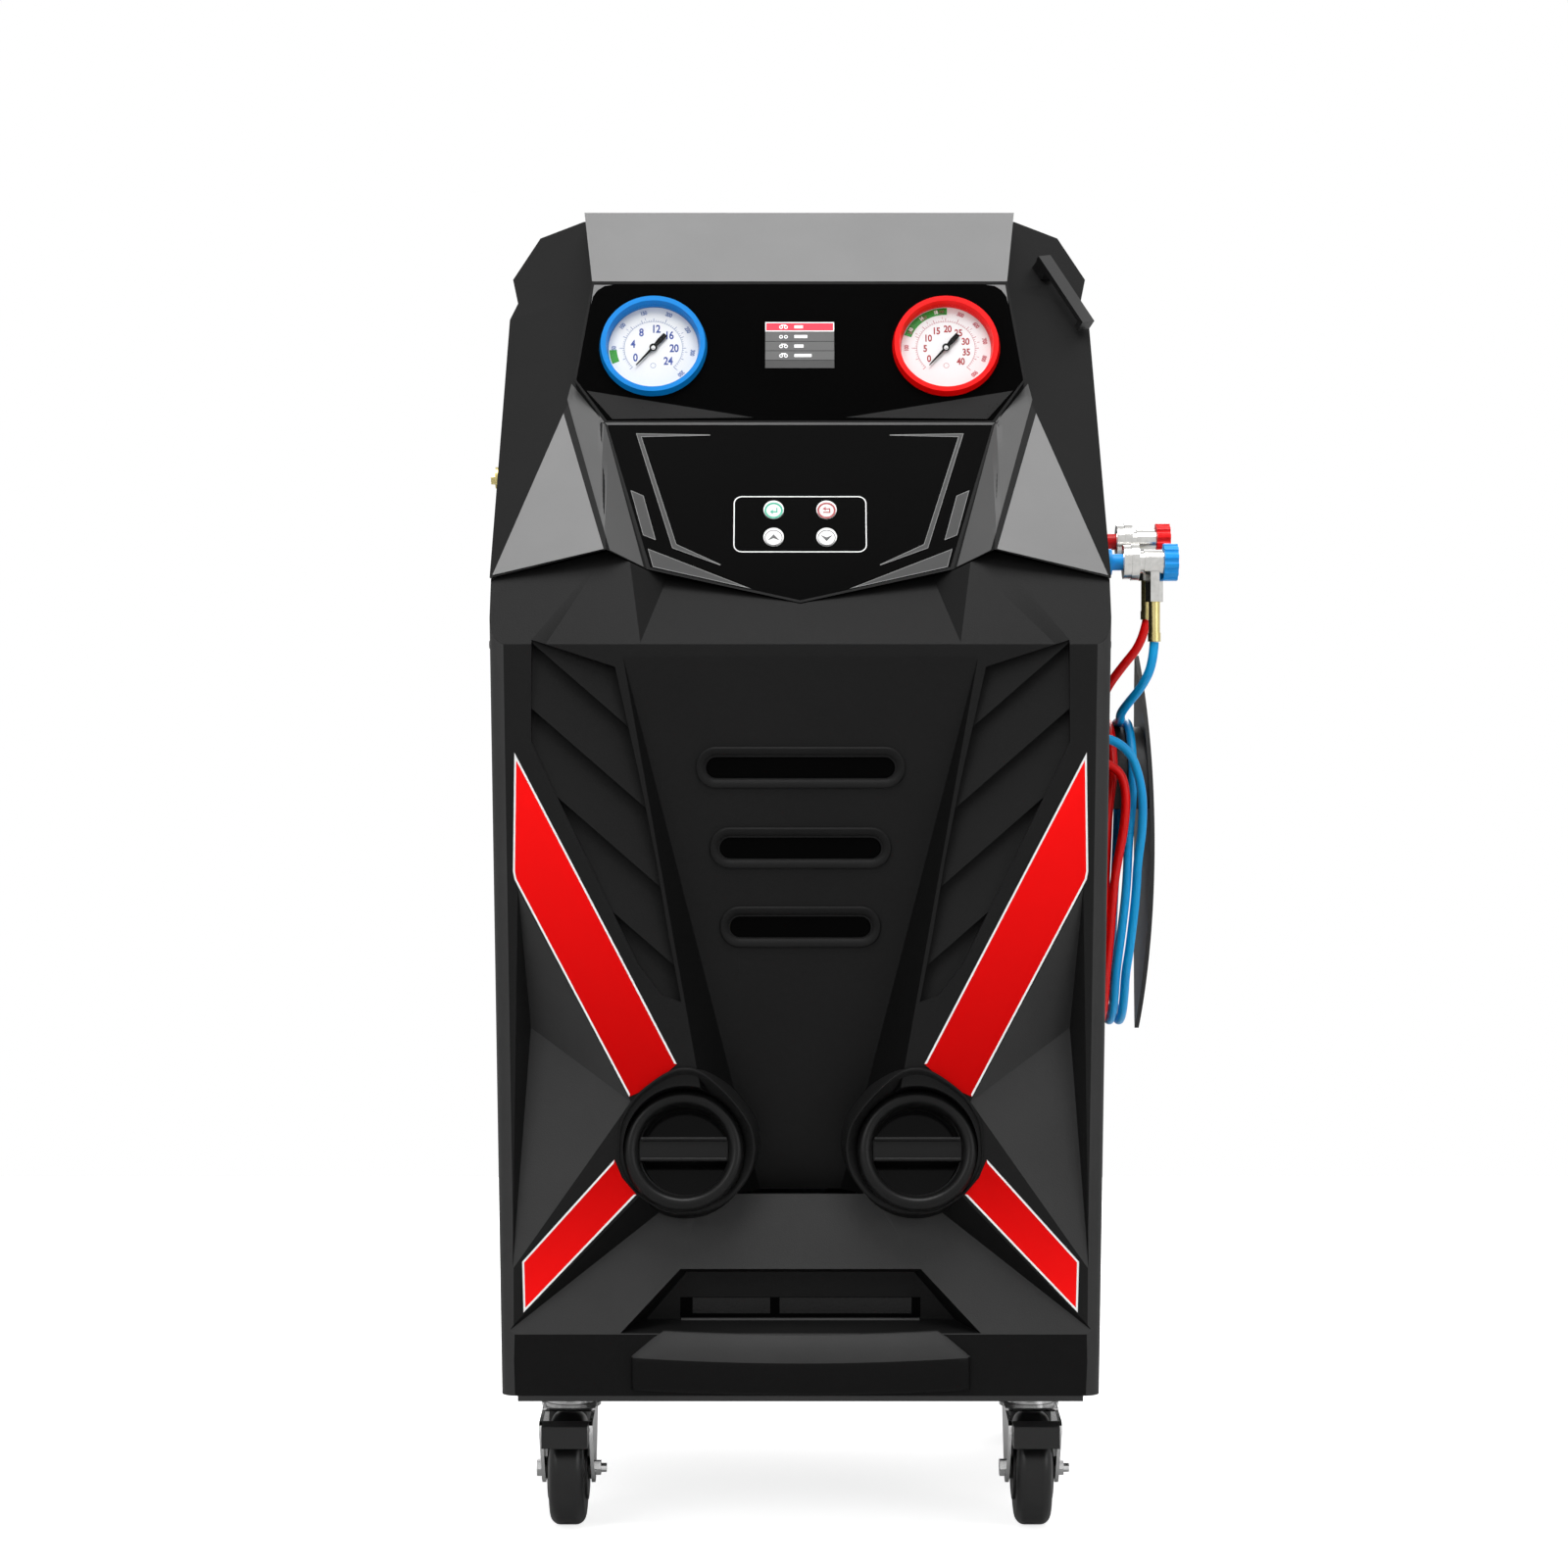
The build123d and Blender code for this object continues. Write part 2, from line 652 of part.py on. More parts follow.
# Rear panel with the fan opening and the cut-outs for power
switch_size = (24.0, 19.0)
inlet_size = (44.0, 24.0)
with BuildPart() as rear_panel:
    inner = sheet + seat_gap
    with BuildSketch(Plane.XZ.offset(-back_y + sheet)):
        Polygon((well_half - 3, base_z + base_plate + seat_gap), (well_half - 3, well_top_z + 4),
                (half_width(well_top_z + 4) - inner, well_top_z + 4), (half_width(parting_z) - inner, parting_z),
                (-half_width(parting_z) + inner, parting_z), (-half_width(well_top_z + 4) + inner, well_top_z + 4),
                (3 - well_half, well_top_z + 4), (3 - well_half, base_z + base_plate + seat_gap), align=None)
        with Locations((0, fan_z)):
            Circle(fan_radius + 2, mode=Mode.SUBTRACT)
        with Locations((inlet_x, inlet_z)):
            Rectangle(*[a + 2 * seat_gap for a in inlet_size], mode=Mode.SUBTRACT)
        with Locations((switch_x, inlet_z)):
            Rectangle(switch_size[0] + 2 * seat_gap, switch_size[1] + 4, mode=Mode.SUBTRACT)
    extrude(amount=-sheet)

# Base frame: tray, wheel wells, four uprights, a shelf and the rail that carries the oil bottles
tray_half = half_bottom - 13.0
rail_post_x = half_bottom - 31.0
front_post_y = side_start_y + 22
rear_post_y = back_y - 22
with BuildPart() as base_frame:
    with BuildSketch(Plane.XY.offset(base_z)):
        Polygon((-tray_half, front_y + 22), (tray_half, front_y + 22), (tray_half, well_front_y),
                (well_half, well_front_y), (well_half, back_y - 5), (-well_half, back_y - 5),
                (-well_half, well_front_y), (-tray_half, well_front_y), align=None)
    extrude(amount=base_plate)
    with BuildSketch(Plane.XY.offset(base_z + base_plate)):
        with Locations((0, (front_y + 22 + well_front_y) / 2)):
            Rectangle(2 * tray_half, well_front_y - front_y - 22)
        with Locations((0, (front_y + 28 + well_front_y) / 2)):
            Rectangle(2 * tray_half - 6, well_front_y - front_y - 22, mode=Mode.SUBTRACT)
        with Locations((0, well_front_y - 10)):
            Rectangle(2 * tray_half - 6, 40, mode=Mode.SUBTRACT)
    extrude(amount=skirt_z - base_z - base_plate - face_gap)
    for side in (1, -1):
        shoulder = half_width(well_top_z) - sheet - face_gap
        with Locations((side * (well_half - 1.5), (well_front_y + back_y - 5) / 2, (base_z + well_top_z) / 2)):
            Box(3, back_y - 5 - well_front_y, well_top_z - base_z)
        with Locations((side * (well_half - 3 + shoulder) / 2, (well_front_y + back_y - 5) / 2, well_top_z + 1.5)):
            Box(shoulder - well_half + 3, back_y - 5 - well_front_y, 3)
        with Locations((side * (well_half - 3 + tray_half) / 2, well_front_y - 1.5, (base_z + well_top_z + 3) / 2)):
            Box(tray_half - well_half + 3, 3, well_top_z + 3 - base_z)
        with Locations((side * rail_post_x, front_post_y, (base_z + base_plate + parting_z - 4) / 2)):
            Box(post_size, post_size, parting_z - 4 - base_z - base_plate)
        with Locations((side * rail_post_x, rear_post_y, (well_top_z + parting_z - 4) / 2)):
            Box(post_size, post_size, parting_z - 4 - well_top_z)
        with Locations((side * 60, side_start_y + 6, (base_z + bottle_foot_z) / 2)):
            Box(20, 8, bottle_foot_z - base_z - 0.5)
    with Locations((0, (front_post_y + rear_post_y) / 2, shelf_z + 1.5)):
        Box(2 * rail_post_x, rear_post_y - front_post_y, 3)
    with Locations((0, bottle_y + 8, bottle_foot_z - 1.5)):
        Box(2 * window_x + 60, 62, 3)

# Front casters: top plate with raceway, fork with king pin, bolt and pedal pin, wheel, brake pedal
raceway_z = 104.8
crown_z = raceway_z - seat_gap
pin_radius = 6.0
fork_inner = 20.5
fork_sheet = 3.2
bolt_radius = 4.0
pedal_pin_radius = 3.0
caster_axle = (caster_swivel_y - caster_trail, caster_radius)
pedal_axis = (caster_swivel_y - 70.0, 93.0)
with BuildPart() as caster_plates:
    for side in (1, -1):
        with Locations((side * caster_x, caster_swivel_y, base_z - 1.5)):
            Box(84, 74, 3)
        with Locations((side * caster_x, caster_swivel_y, (base_z + raceway_z) / 2)):
            Cylinder(23, base_z - raceway_z)
            Cylinder(pin_radius + running_fit, base_z - raceway_z, mode=Mode.SUBTRACT)
        with Locations((side * caster_x, caster_swivel_y, base_z - 3 - 4.5)):
            Torus(23, 2.4)
        with Locations((side * caster_x, caster_swivel_y, base_z - 3)):
            with GridLocations(62, 52, 2, 2):
                Cylinder(5.5, 4, align=(Align.CENTER, Align.CENTER, Align.MAX))


def caster_fork(side):
    """Pressed fork: crown, two legs reaching to the axle and the pedal pin, and the bolt with head and nut."""
    x = side * caster_x
    with BuildPart() as fork:
        with Locations((x, caster_swivel_y, crown_z)):
            Cylinder(27, 3, align=(Align.CENTER, Align.CENTER, Align.MAX))
            Cylinder(pin_radius, 9, align=(Align.CENTER, Align.CENTER, Align.MIN))
        for leg in (1, -1):
            with BuildSketch(Plane.YZ.offset(x + leg * (fork_inner + fork_sheet / 2))):
                with Locations(caster_axle):
                    Circle(13)
                with Locations(pedal_axis):
                    Circle(6.5)
                with Locations((caster_swivel_y - 6, crown_z - 1.5)):
                    Rectangle(34, 3)
                make_hull()
            extrude(amount=fork_sheet / 2, both=True)
        with Locations((x, caster_swivel_y - 22, crown_z - 1.5)):
            Box(2 * (fork_inner + fork_sheet), 30, 3)
        with BuildSketch(Plane.YZ.offset(x)):
            with Locations(caster_axle):
                Circle(bolt_radius)
            with Locations(pedal_axis):
                Circle(pedal_pin_radius)
        extrude(amount=fork_inner + 1, both=True)
        with BuildSketch(Plane.YZ.offset(x - fork_inner - fork_sheet)):
            with Locations(caster_axle):
                RegularPolygon(8, 6)
        extrude(amount=-5)
        with BuildSketch(Plane.YZ.offset(x + fork_inner + fork_sheet)):
            with Locations(caster_axle):
                RegularPolygon(7, 6)
        extrude(amount=5)
        with BuildSketch(Plane.YZ.offset(x + fork_inner + fork_sheet)):
            with Locations(caster_axle):
                Circle(bolt_radius)
        extrude(amount=10)
    return fork.part


def caster_wheel(side):
    """Rubber-tyred wheel with a rounded tread, a wider core and hub, and its bore."""
    hub_half = fork_inner - seat_gap
    tread_half = caster_tread / 2
    with BuildPart() as wheel:
        with BuildSketch(Plane.YZ.offset(side * caster_x - tread_half)):
            with Locations(caster_axle):
                Circle(caster_radius)
        extrude(amount=caster_tread)
        fillet(wheel.edges().filter_by(GeomType.CIRCLE), 9)
        with BuildSketch(Plane.YZ.offset(side * caster_x)):
            with Locations(caster_axle):
                Circle(28)
        extrude(amount=tread_half + 2, both=True)
        with BuildSketch(Plane.YZ.offset(side * caster_x)):
            with Locations(caster_axle):
                Circle(10)
        extrude(amount=hub_half, both=True)
        with BuildSketch(Plane.YZ.offset(side * caster_x)):
            with Locations(caster_axle):
                Circle(bolt_radius + running_fit)
        extrude(amount=hub_half + 1, both=True, mode=Mode.SUBTRACT)
    return wheel.part


def brake_pedal(side):
    """Steel pedal with a black pad, turning on the pin between the fork's legs."""
    x = side * caster_x
    width = 2 * (fork_inner - seat_gap)
    y, z = pedal_axis
    with BuildPart() as pedal:
        with BuildSketch(Plane.YZ.offset(x - width / 2)):
            with Locations(pedal_axis):
                Circle(5.6)
            Polygon((y - 25, z - 13), (y - 4, z - 13), (y - 4, z), (y - 7, z + 8), (y - 25, z + 6), align=None)
            with Locations(pedal_axis):
                Circle(pedal_pin_radius + running_fit, mode=Mode.SUBTRACT)
        extrude(amount=width)
    return pedal.part


# Rear axle with its two blocks, and the large rear wheels
cap_half = rear_wheel_x + rear_wheel_width / 2 + 0.5
with BuildPart() as rear_axle:
    with BuildSketch(Plane.YZ.offset(-cap_half)):
        with Locations((rear_wheel_y, rear_wheel_radius)):
            Circle(axle_radius)
    extrude(amount=2 * cap_half)
    for side in (1, -1):
        with Locations((side * 150, rear_wheel_y, (base_z + rear_wheel_radius - 14) / 2)):
            Box(12, 40, base_z - rear_wheel_radius + 14)
        with BuildSketch(Plane.YZ.offset(side * (cap_half + 1.5))):
            with Locations((rear_wheel_y, rear_wheel_radius)):
                Circle(15)
        extrude(amount=1.5, both=True)
        with BuildSketch(Plane.YZ.offset(side * (rear_wheel_x - rear_wheel_width / 2 - 2.5))):
            with Locations((rear_wheel_y, rear_wheel_radius)):
                Circle(13)
        extrude(amount=2, both=True)


def rear_wheel(side):
    """Solid-tyred wheel with a dished rim on both faces."""
    half = rear_wheel_width / 2
    with BuildPart() as wheel:
        with BuildSketch(Plane.YZ.offset(side * rear_wheel_x - half)):
            with Locations((rear_wheel_y, rear_wheel_radius)):
                Circle(rear_wheel_radius)
        extrude(amount=rear_wheel_width)
        fillet(wheel.edges().filter_by(GeomType.CIRCLE), 9)
        for face_x, inward in ((side * rear_wheel_x + half, -11), (side * rear_wheel_x - half, 11)):
            with BuildSketch(Plane.YZ.offset(face_x)):
                with Locations((rear_wheel_y, rear_wheel_radius)):
                    Circle(74)
                    Circle(22, mode=Mode.SUBTRACT)
            extrude(amount=inward, taper=12, mode=Mode.SUBTRACT)
        with BuildSketch(Plane.YZ.offset(side * rear_wheel_x)):
            with Locations((rear_wheel_y, rear_wheel_radius)):
                Circle(axle_radius + running_fit)
        extrude(amount=half + 1, both=True, mode=Mode.SUBTRACT)
    return wheel.part


# Hose hanger: half-round saddle and a bowed, leaf-shaped plate that keeps the loops on it
saddle_z = saddle_top_z - saddle_radius
leaf_middle_z = (leaf_top_z + leaf_bottom_z) / 2
leaf_half = 70.0
with BuildPart() as leaf:
    with BuildSketch(Plane.YZ):
        with BuildLine():
            ThreePointArc((hanger_y, leaf_top_z), (hanger_y + leaf_half, leaf_middle_z), (hanger_y, leaf_bottom_z))
            ThreePointArc((hanger_y, leaf_bottom_z), (hanger_y - leaf_half, leaf_middle_z), (hanger_y, leaf_top_z))
        make_face()
    extrude(amount=hanger_reach + 5)
    with BuildSketch(Plane.XZ.offset(-hanger_y)):
        with BuildLine():
            ThreePointArc((hanger_tip_reach, leaf_bottom_z), (hanger_reach, leaf_middle_z), (hanger_tip_reach, leaf_top_z))
            Line((hanger_tip_reach, leaf_top_z), (hanger_tip_reach - hanger_plate, leaf_top_z))
            ThreePointArc((hanger_tip_reach - hanger_plate, leaf_top_z), (hanger_reach - hanger_plate, leaf_middle_z),
                          (hanger_tip_reach - hanger_plate, leaf_bottom_z))
            Line((hanger_tip_reach - hanger_plate, leaf_bottom_z), (hanger_tip_reach, leaf_bottom_z))
        make_face()
    extrude(amount=leaf_half + 5, both=True, mode=Mode.INTERSECT)
with BuildPart() as hose_hanger:
    with BuildSketch(Plane.YZ.offset(half_bottom)):
        with Locations((hanger_y, saddle_z)):
            Circle(saddle_radius)
            Circle(saddle_radius - 6, mode=Mode.SUBTRACT)
        with Locations((hanger_y, saddle_z - saddle_radius)):
            Rectangle(2 * saddle_radius + 2, 2 * saddle_radius - 30, mode=Mode.SUBTRACT)
    extrude(amount=hanger_reach - hanger_plate / 2 - half_bottom)
    split(bisect_by=side_face, keep=Keep.TOP)
    add(leaf.part)

# Service couplers parked on two posts, with their hose ends
sleeve_start = coupler_foot_x + 0.6
sleeve_length = 14.0
barrel_x = coupler_foot_x + 19.3
knob_x = coupler_foot_x + 37.0
knob_radius = 17.0
stem_x = coupler_foot_x + 33.0
crimp_length = 28.0


def round_bar(y, z, radius, start, end):
    """A bar along X between two places."""
    with Locations(((start + end) / 2, y, z)):
        Cylinder(radius, abs(end - start), rotation=(0, 90, 0))


with BuildPart() as parking_posts:
    for y, z in (blue_coupler, red_coupler):
        base = half_top if z < parting_z else hood_half
        round_bar(y, z, 12, base, base + 4)
        round_bar(y, z, post_radius, base + 4, coupler_foot_x + 8)


def coupler_body(y, z):
    with BuildPart() as body:
        round_bar(y, z, 10, coupler_foot_x + 0.3, barrel_x)
        round_bar(y, z, 11.3, barrel_x, knob_x - seat_gap)
        with BuildSketch(Plane.YZ.offset(coupler_foot_x)):
            with Locations((y, z)):
                Circle(post_radius + seat_gap)
        extrude(amount=8 + seat_gap, mode=Mode.SUBTRACT)
        with BuildSketch(Plane.YZ.offset(knob_x)):
            with Locations((y, z)):
                Circle(4 + running_fit)
        extrude(amount=-10, mode=Mode.SUBTRACT)
        with BuildSketch(Plane.XY.offset(z - 8)):
            with Locations((stem_x - 4, y)):
                RegularPolygon(8, 6)
        extrude(amount=-28)
    return body.part


def hose_end(y, z):
    foot = z - 36
    with BuildPart() as crimp:
        with Locations((stem_x - 4, y, foot)):
            Cylinder(5.2, crimp_length, align=(Align.CENTER, Align.CENTER, Align.MAX))
        with Locations((stem_x - 4, y, foot - crimp_length)):
            Cylinder(5.8, 8, align=(Align.CENTER, Align.CENTER, Align.MAX))
    return crimp.part


with BuildPart() as coupler_bodies:
    for y, z in (blue_coupler, red_coupler):
        add(coupler_body(y, z))
        add(hose_end(y, z))


def coupler_sleeve(y, z):
    """Sliding collar with a knurled waist."""
    with BuildPart() as sleeve:
        round_bar(y, z, 15.5, sleeve_start, sleeve_start + 7)
        round_bar(y, z, 16.6, sleeve_start + 7, sleeve_start + sleeve_length)
        round_bar(y, z, 14.6, sleeve_start + 6.4, sleeve_start + 7.4)
        with BuildSketch(Plane.YZ.offset(sleeve_start - 1)):
            with Locations((y, z)):
                Circle(10 + running_fit)
        extrude(amount=sleeve_length + 2, mode=Mode.SUBTRACT)
    return sleeve.part


def coupler_knob(y, z):
    """Fluted hand knob with its spindle."""
    with BuildPart() as knob:
        with BuildSketch(Plane.YZ.offset(knob_x)):
            with Locations((y, z)):
                Circle(knob_radius)
                with PolarLocations(knob_radius + 1.2, 12):
                    Circle(3, mode=Mode.SUBTRACT)
        extrude(amount=12.6)
        round_bar(y, z, 4, knob_x - 9, knob_x)
    return knob.part


# Fittings on the panels: two hose tails on the right and a plated port on the left
coil_front_y = hanger_y - saddle_radius - hose_diameter - 0.9
coil_step = hose_diameter / 2
red_coil_x = half_top + 0.4
blue_coil_x = red_coil_x + 2 * hose_diameter + 1
red_strands = (red_coil_x + coil_step, red_coil_x + 3 * coil_step)
blue_strands = (blue_coil_x + coil_step, blue_coil_x + 3 * coil_step)
blue_tail = [(280, -161, 706), (300, -161, 701), (314, -158, 664), (315.5, -151, 625), (311, -146, 592),
             (blue_strands[1], coil_front_y + 4.5, 562)]
red_tail = [(280, -155, 683.5), (294, -155, 678), (300, -155.5, 655), (298, -154.5, 625), (293.5, -152, 600),
            (290, -147, 578), (red_strands[1], coil_front_y + 4.5, 558)]
barb_length = 12.0
with BuildPart() as service_fittings:
    for tail in (blue_tail, red_tail):
        tip, onward = Vector(*tail[0]), Vector(*tail[1])
        leaving = (onward - tip).normalized()
        with BuildSketch(Plane(origin=tip - leaving * barb_length, z_dir=leaving)):
            Circle(5.2)
        extrude(amount=barb_length)
        round_bar(tip.Y, tip.Z + 0.8, 8, half_bottom + 2, tip.X - 3)
    split(bisect_by=side_face, keep=Keep.TOP)
    with BuildSketch(Plane.YZ.offset(-hood_half)):
        with Locations((front_y + 150, 947)):
            Circle(10)
    extrude(amount=-3)
    with BuildSketch(Plane.YZ.offset(-hood_half - 3)):
        with Locations((front_y + 150, 947)):
            RegularPolygon(7, 6)
    extrude(amount=-(side_fitting_reach - hood_half - 3))

# Hook on the right flank: a flat bar held off the face by one foot
hook_plane = Plane(origin=(250, front_y + 53 + 0.81 * (1130 - parting_z) - 0.55 * (half_top - 250), 1130),
                   x_dir=(40, 0.55 * 40 - 0.81 * 70, -70), z_dir=flank_face.z_dir)
with BuildPart() as probe_hook:
    with BuildSketch(hook_plane):
        with Locations((-34, 0)):
            Rectangle(16, 15)
    extrude(amount=14)
    with BuildSketch(hook_plane.offset(10)):
        Rectangle(86, 15)
    extrude(amount=5)
    with BuildSketch(hook_plane.offset(4)):
        with Locations((40, 0)):
            Rectangle(6, 15)
    extrude(amount=7)

# Push handle: bent tube with two flanges on the hood's rear wall
tube_y = handle_reach - handle_tube
bend = 0.66 * (tube_y - back_y)
with BuildPart() as push_handle:
    with BuildLine():
        route = FilletPolyline((-handle_half, back_y, handle_z), (-handle_half, tube_y, handle_z),
                               (handle_half, tube_y, handle_z), (handle_half, back_y, handle_z), radius=bend)
    with BuildSketch(Plane(origin=(-handle_half, back_y, handle_z), z_dir=(0, 1, 0))):
        Circle(handle_tube)
    sweep(path=route)
    for side in (1, -1):
        with BuildSketch(Plane.XZ.offset(-back_y)):
            with Locations((side * handle_half, handle_z)):
                Circle(23)
        extrude(amount=-5)

# Fan: guard rings and spokes with the fixed hub, and the five-bladed rotor behind the panel
rotor_front = back_y - 38.0
rotor_depth = 22.0
with BuildPart() as fan_guard:
    with BuildSketch(Plane.XZ.offset(-back_y)):
        with Locations((0, fan_z)):
            for radius in (fan_radius + 9, 82, 64, 46):
                Circle(radius)
                Circle(radius - 5, mode=Mode.SUBTRACT)
            Circle(30)
            with PolarLocations(0, 3):
                Rectangle(2 * fan_radius + 14, 6)
    extrude(amount=-4)
    with BuildSketch(Plane.XZ.offset(-back_y)):
        with Locations((0, fan_z)):
            Circle(26)
    extrude(amount=back_y - rotor_front - rotor_depth - 1)
    with BuildSketch(Plane.XZ.offset(-back_y)):
        with Locations((0, fan_z)):
            Circle(5)
    extrude(amount=back_y - rotor_front)
with BuildPart() as fan_rotor:
    with BuildSketch(Plane.XZ.offset(-rotor_front - rotor_depth)):
        with Locations((0, fan_z)):
            Circle(28)
    extrude(amount=rotor_depth)
    for blade in range(5):
        turn = radians(72 * blade)
        outward = Vector(sin(turn), 0, cos(turn))
        with BuildSketch(Plane(origin=Vector(0, rotor_front + rotor_depth / 2, fan_z) + outward * 24,
                               x_dir=Vector(cos(turn) * 0.87, 0.5, -sin(turn) * 0.87), z_dir=outward)):
            Rectangle(38, 2.4)
        extrude(amount=fan_radius - 30)
    with BuildSketch(Plane.XZ.offset(-rotor_front - rotor_depth)):
        with Locations((0, fan_z)):
            Circle(5 + running_fit)
    extrude(amount=rotor_depth + 1, both=True, mode=Mode.SUBTRACT)

# Mains inlet with its socket, the switch's frame and the rocker
rocker_radius = 8.6
rocker_y = back_y + 0.5
with BuildPart() as power_inlet:
    with BuildSketch(Plane.XZ.offset(-back_y)):
        with Locations((inlet_x, inlet_z)):
            RectangleRounded(58, 34, 4)
    extrude(amount=-3)
    with BuildSketch(Plane.XZ.offset(-back_y)):
        with Locations((inlet_x, inlet_z)):
            Rectangle(*inlet_size)
    extrude(amount=24)
    with BuildSketch(Plane.XZ.offset(-back_y - 3)):
        with Locations((inlet_x, inlet_z)):
            RectangleRounded(25, 17, 3)
    extrude(amount=18, mode=Mode.SUBTRACT)
    with BuildSketch(Plane.XZ.offset(-back_y)):
        with Locations((switch_x, inlet_z)):
            RectangleRounded(switch_size[0] + 10, switch_size[1] + 11, 3)
            Rectangle(switch_size[0] - 1, 2 * rocker_radius + 0.8, mode=Mode.SUBTRACT)
    extrude(amount=-3)
with BuildPart() as power_switch:
    width = switch_size[0] - 1 - 2 * seat_gap
    with BuildSketch(Plane.YZ.offset(switch_x - width / 2)):
        with Locations((rocker_y, inlet_z)):
            Circle(rocker_radius)
        with Locations((rocker_y + 9, inlet_z + 9), (rocker_y + 9, inlet_z - 9)):
            Circle(6, mode=Mode.SUBTRACT)
    extrude(amount=width)

# Inside: tank on its scale, compressor, vacuum pump, condenser and valve manifold
floor_z = base_z + base_plate
tank_place = (-60.0, 70.0)
with BuildPart() as tank_scale:
    with Locations((*tank_place, floor_z + 12.5)):
        Box(196, 196, 25)
with BuildPart() as storage_tank:
    with Locations((*tank_place, floor_z + 25 + 165)):
        Cylinder(88, 310)
    fillet(storage_tank.edges().filter_by(GeomType.CIRCLE), 26)
    with Locations((*tank_place, floor_z + 25 + 165)):
        Cylinder(83, 260, mode=Mode.SUBTRACT)
    with Locations((*tank_place, floor_z + 25)):
        Cylinder(66, 26, align=(Align.CENTER, Align.CENTER, Align.MIN))
    with Locations((*tank_place, floor_z + 25 + 318)):
        Cylinder(16, 24)
    with Locations((tank_place[0], tank_place[1], floor_z + 25 + 322)):
        Box(70, 12, 12)
compressor_place = (115.0, 110.0)
with BuildPart() as compressor:
    with Locations((*compressor_place, floor_z)):
        Box(128, 120, 6, align=(Align.CENTER, Align.CENTER, Align.MIN))
        Cylinder(58, 190, align=(Align.CENTER, Align.CENTER, Align.MIN))
    fillet(compressor.edges().filter_by(GeomType.CIRCLE).group_by(Axis.Z)[-1], 30)
    with Locations((compressor_place[0] + 20, compressor_place[1], floor_z + 180)):
        Cylinder(5, 40)
pump_place = (50.0, -85.0)
with BuildPart() as vacuum_pump:
    with Locations((*pump_place, floor_z)):
        Box(150, 62, 16, align=(Align.CENTER, Align.CENTER, Align.MIN))
    with BuildSketch(Plane.YZ.offset(pump_place[0] - 100)):
        with Locations((pump_place[1], floor_z + 50)):
            Circle(38)
    extrude(amount=130)
    with Locations((pump_place[0] + 60, pump_place[1], floor_z + 48)):
        Box(64, 74, 70)
    with Locations((pump_place[0] + 60, pump_place[1], floor_z + 90)):
        Cylinder(9, 50)
with BuildPart() as condenser:
    with Locations((0, 140, shelf_z + 3)):
        Box(270, 30, 262, align=(Align.CENTER, Align.CENTER, Align.MIN))
    with Locations((0, 125, shelf_z + 3 + 130)):
        with GridLocations(12, 0, 20, 1):
            Box(5, 6, 240, mode=Mode.SUBTRACT)
with BuildPart() as valve_manifold:
    with Locations((-130, -70, shelf_z + 3)):
        Box(150, 60, 44, align=(Align.CENTER, Align.CENTER, Align.MIN))
    with Locations((-130, -70, shelf_z + 47)):
        with GridLocations(36, 0, 4, 1):
            Cylinder(11, 42, align=(Align.CENTER, Align.CENTER, Align.MIN))
    with Locations((90, -60, shelf_z + 3)):
        Box(80, 34, 20, align=(Align.CENTER, Align.CENTER, Align.MIN))
    with BuildSketch(Plane.YZ.offset(20)):
        with Locations((-60, shelf_z + 3 + 46)):
            Circle(32)
    extrude(amount=140)


def loop_coil(start):
    """The turns of one hose on the saddle, as one ring of their outer shape."""
    inner, outer = saddle_radius + seat_gap, saddle_radius + seat_gap + hose_diameter + 0.6
    span = saddle_z - (loop_bottom_z + outer)
    with BuildPart() as coil:
        with BuildSketch(Plane.YZ.offset(start)):
            with Locations((hanger_y, saddle_z - span / 2)):
                SlotCenterToCenter(span, 2 * outer, rotation=90)
                SlotCenterToCenter(span, 2 * inner, rotation=90, mode=Mode.SUBTRACT)
        extrude(amount=2 * hose_diameter)
    return coil.part


def hose_run(points):
    """A stretch of hose: straight runs joined by arcs as large as the runs allow."""
    corners = [Vector(*point) for point in points]
    radii = []
    for before, corner, after in zip(corners, corners[1:], corners[2:]):
        into, out = corner - before, after - corner
        turn = radians(into.get_angle(out))
        radii.append(0.45 * min(into.length, out.length) / tan(turn / 2))
    print("hose arcs", [round(radius, 1) for radius in radii])
    with BuildPart() as run:
        with BuildLine():
            route = FilletPolyline(*corners, radius=radii)
        with BuildSketch(Plane(origin=corners[0], z_dir=corners[1] - corners[0])):
            Circle(hose_diameter / 2)
        sweep(path=route)
    return run.part


lead_x = stem_x - 4
crimp_end = 36 + crimp_length + 8
blue_lead = [(lead_x, blue_coupler[0], blue_coupler[1] - crimp_end - 0.3), (320, -192.3, 773), (311, -184, 752.5),
             (299, -164, 736.5), (295.5, -139, 728), (298.8, -115, 722.8), (blue_strands[0], -93, 720.3)]
red_lead = [(lead_x, red_coupler[0], red_coupler[1] - crimp_end - 0.8), (317, -132.5, 795), (299, -128.5, 773),
            (285, -119.5, 753), (281, -102.5, 737), (red_strands[0], -84.5, 722)]
with BuildPart() as red_hose:
    add(hose_run(red_lead))
    add(hose_run(red_tail))
with BuildPart() as blue_hose:
    add(hose_run(blue_lead))
    add(hose_run(blue_tail))

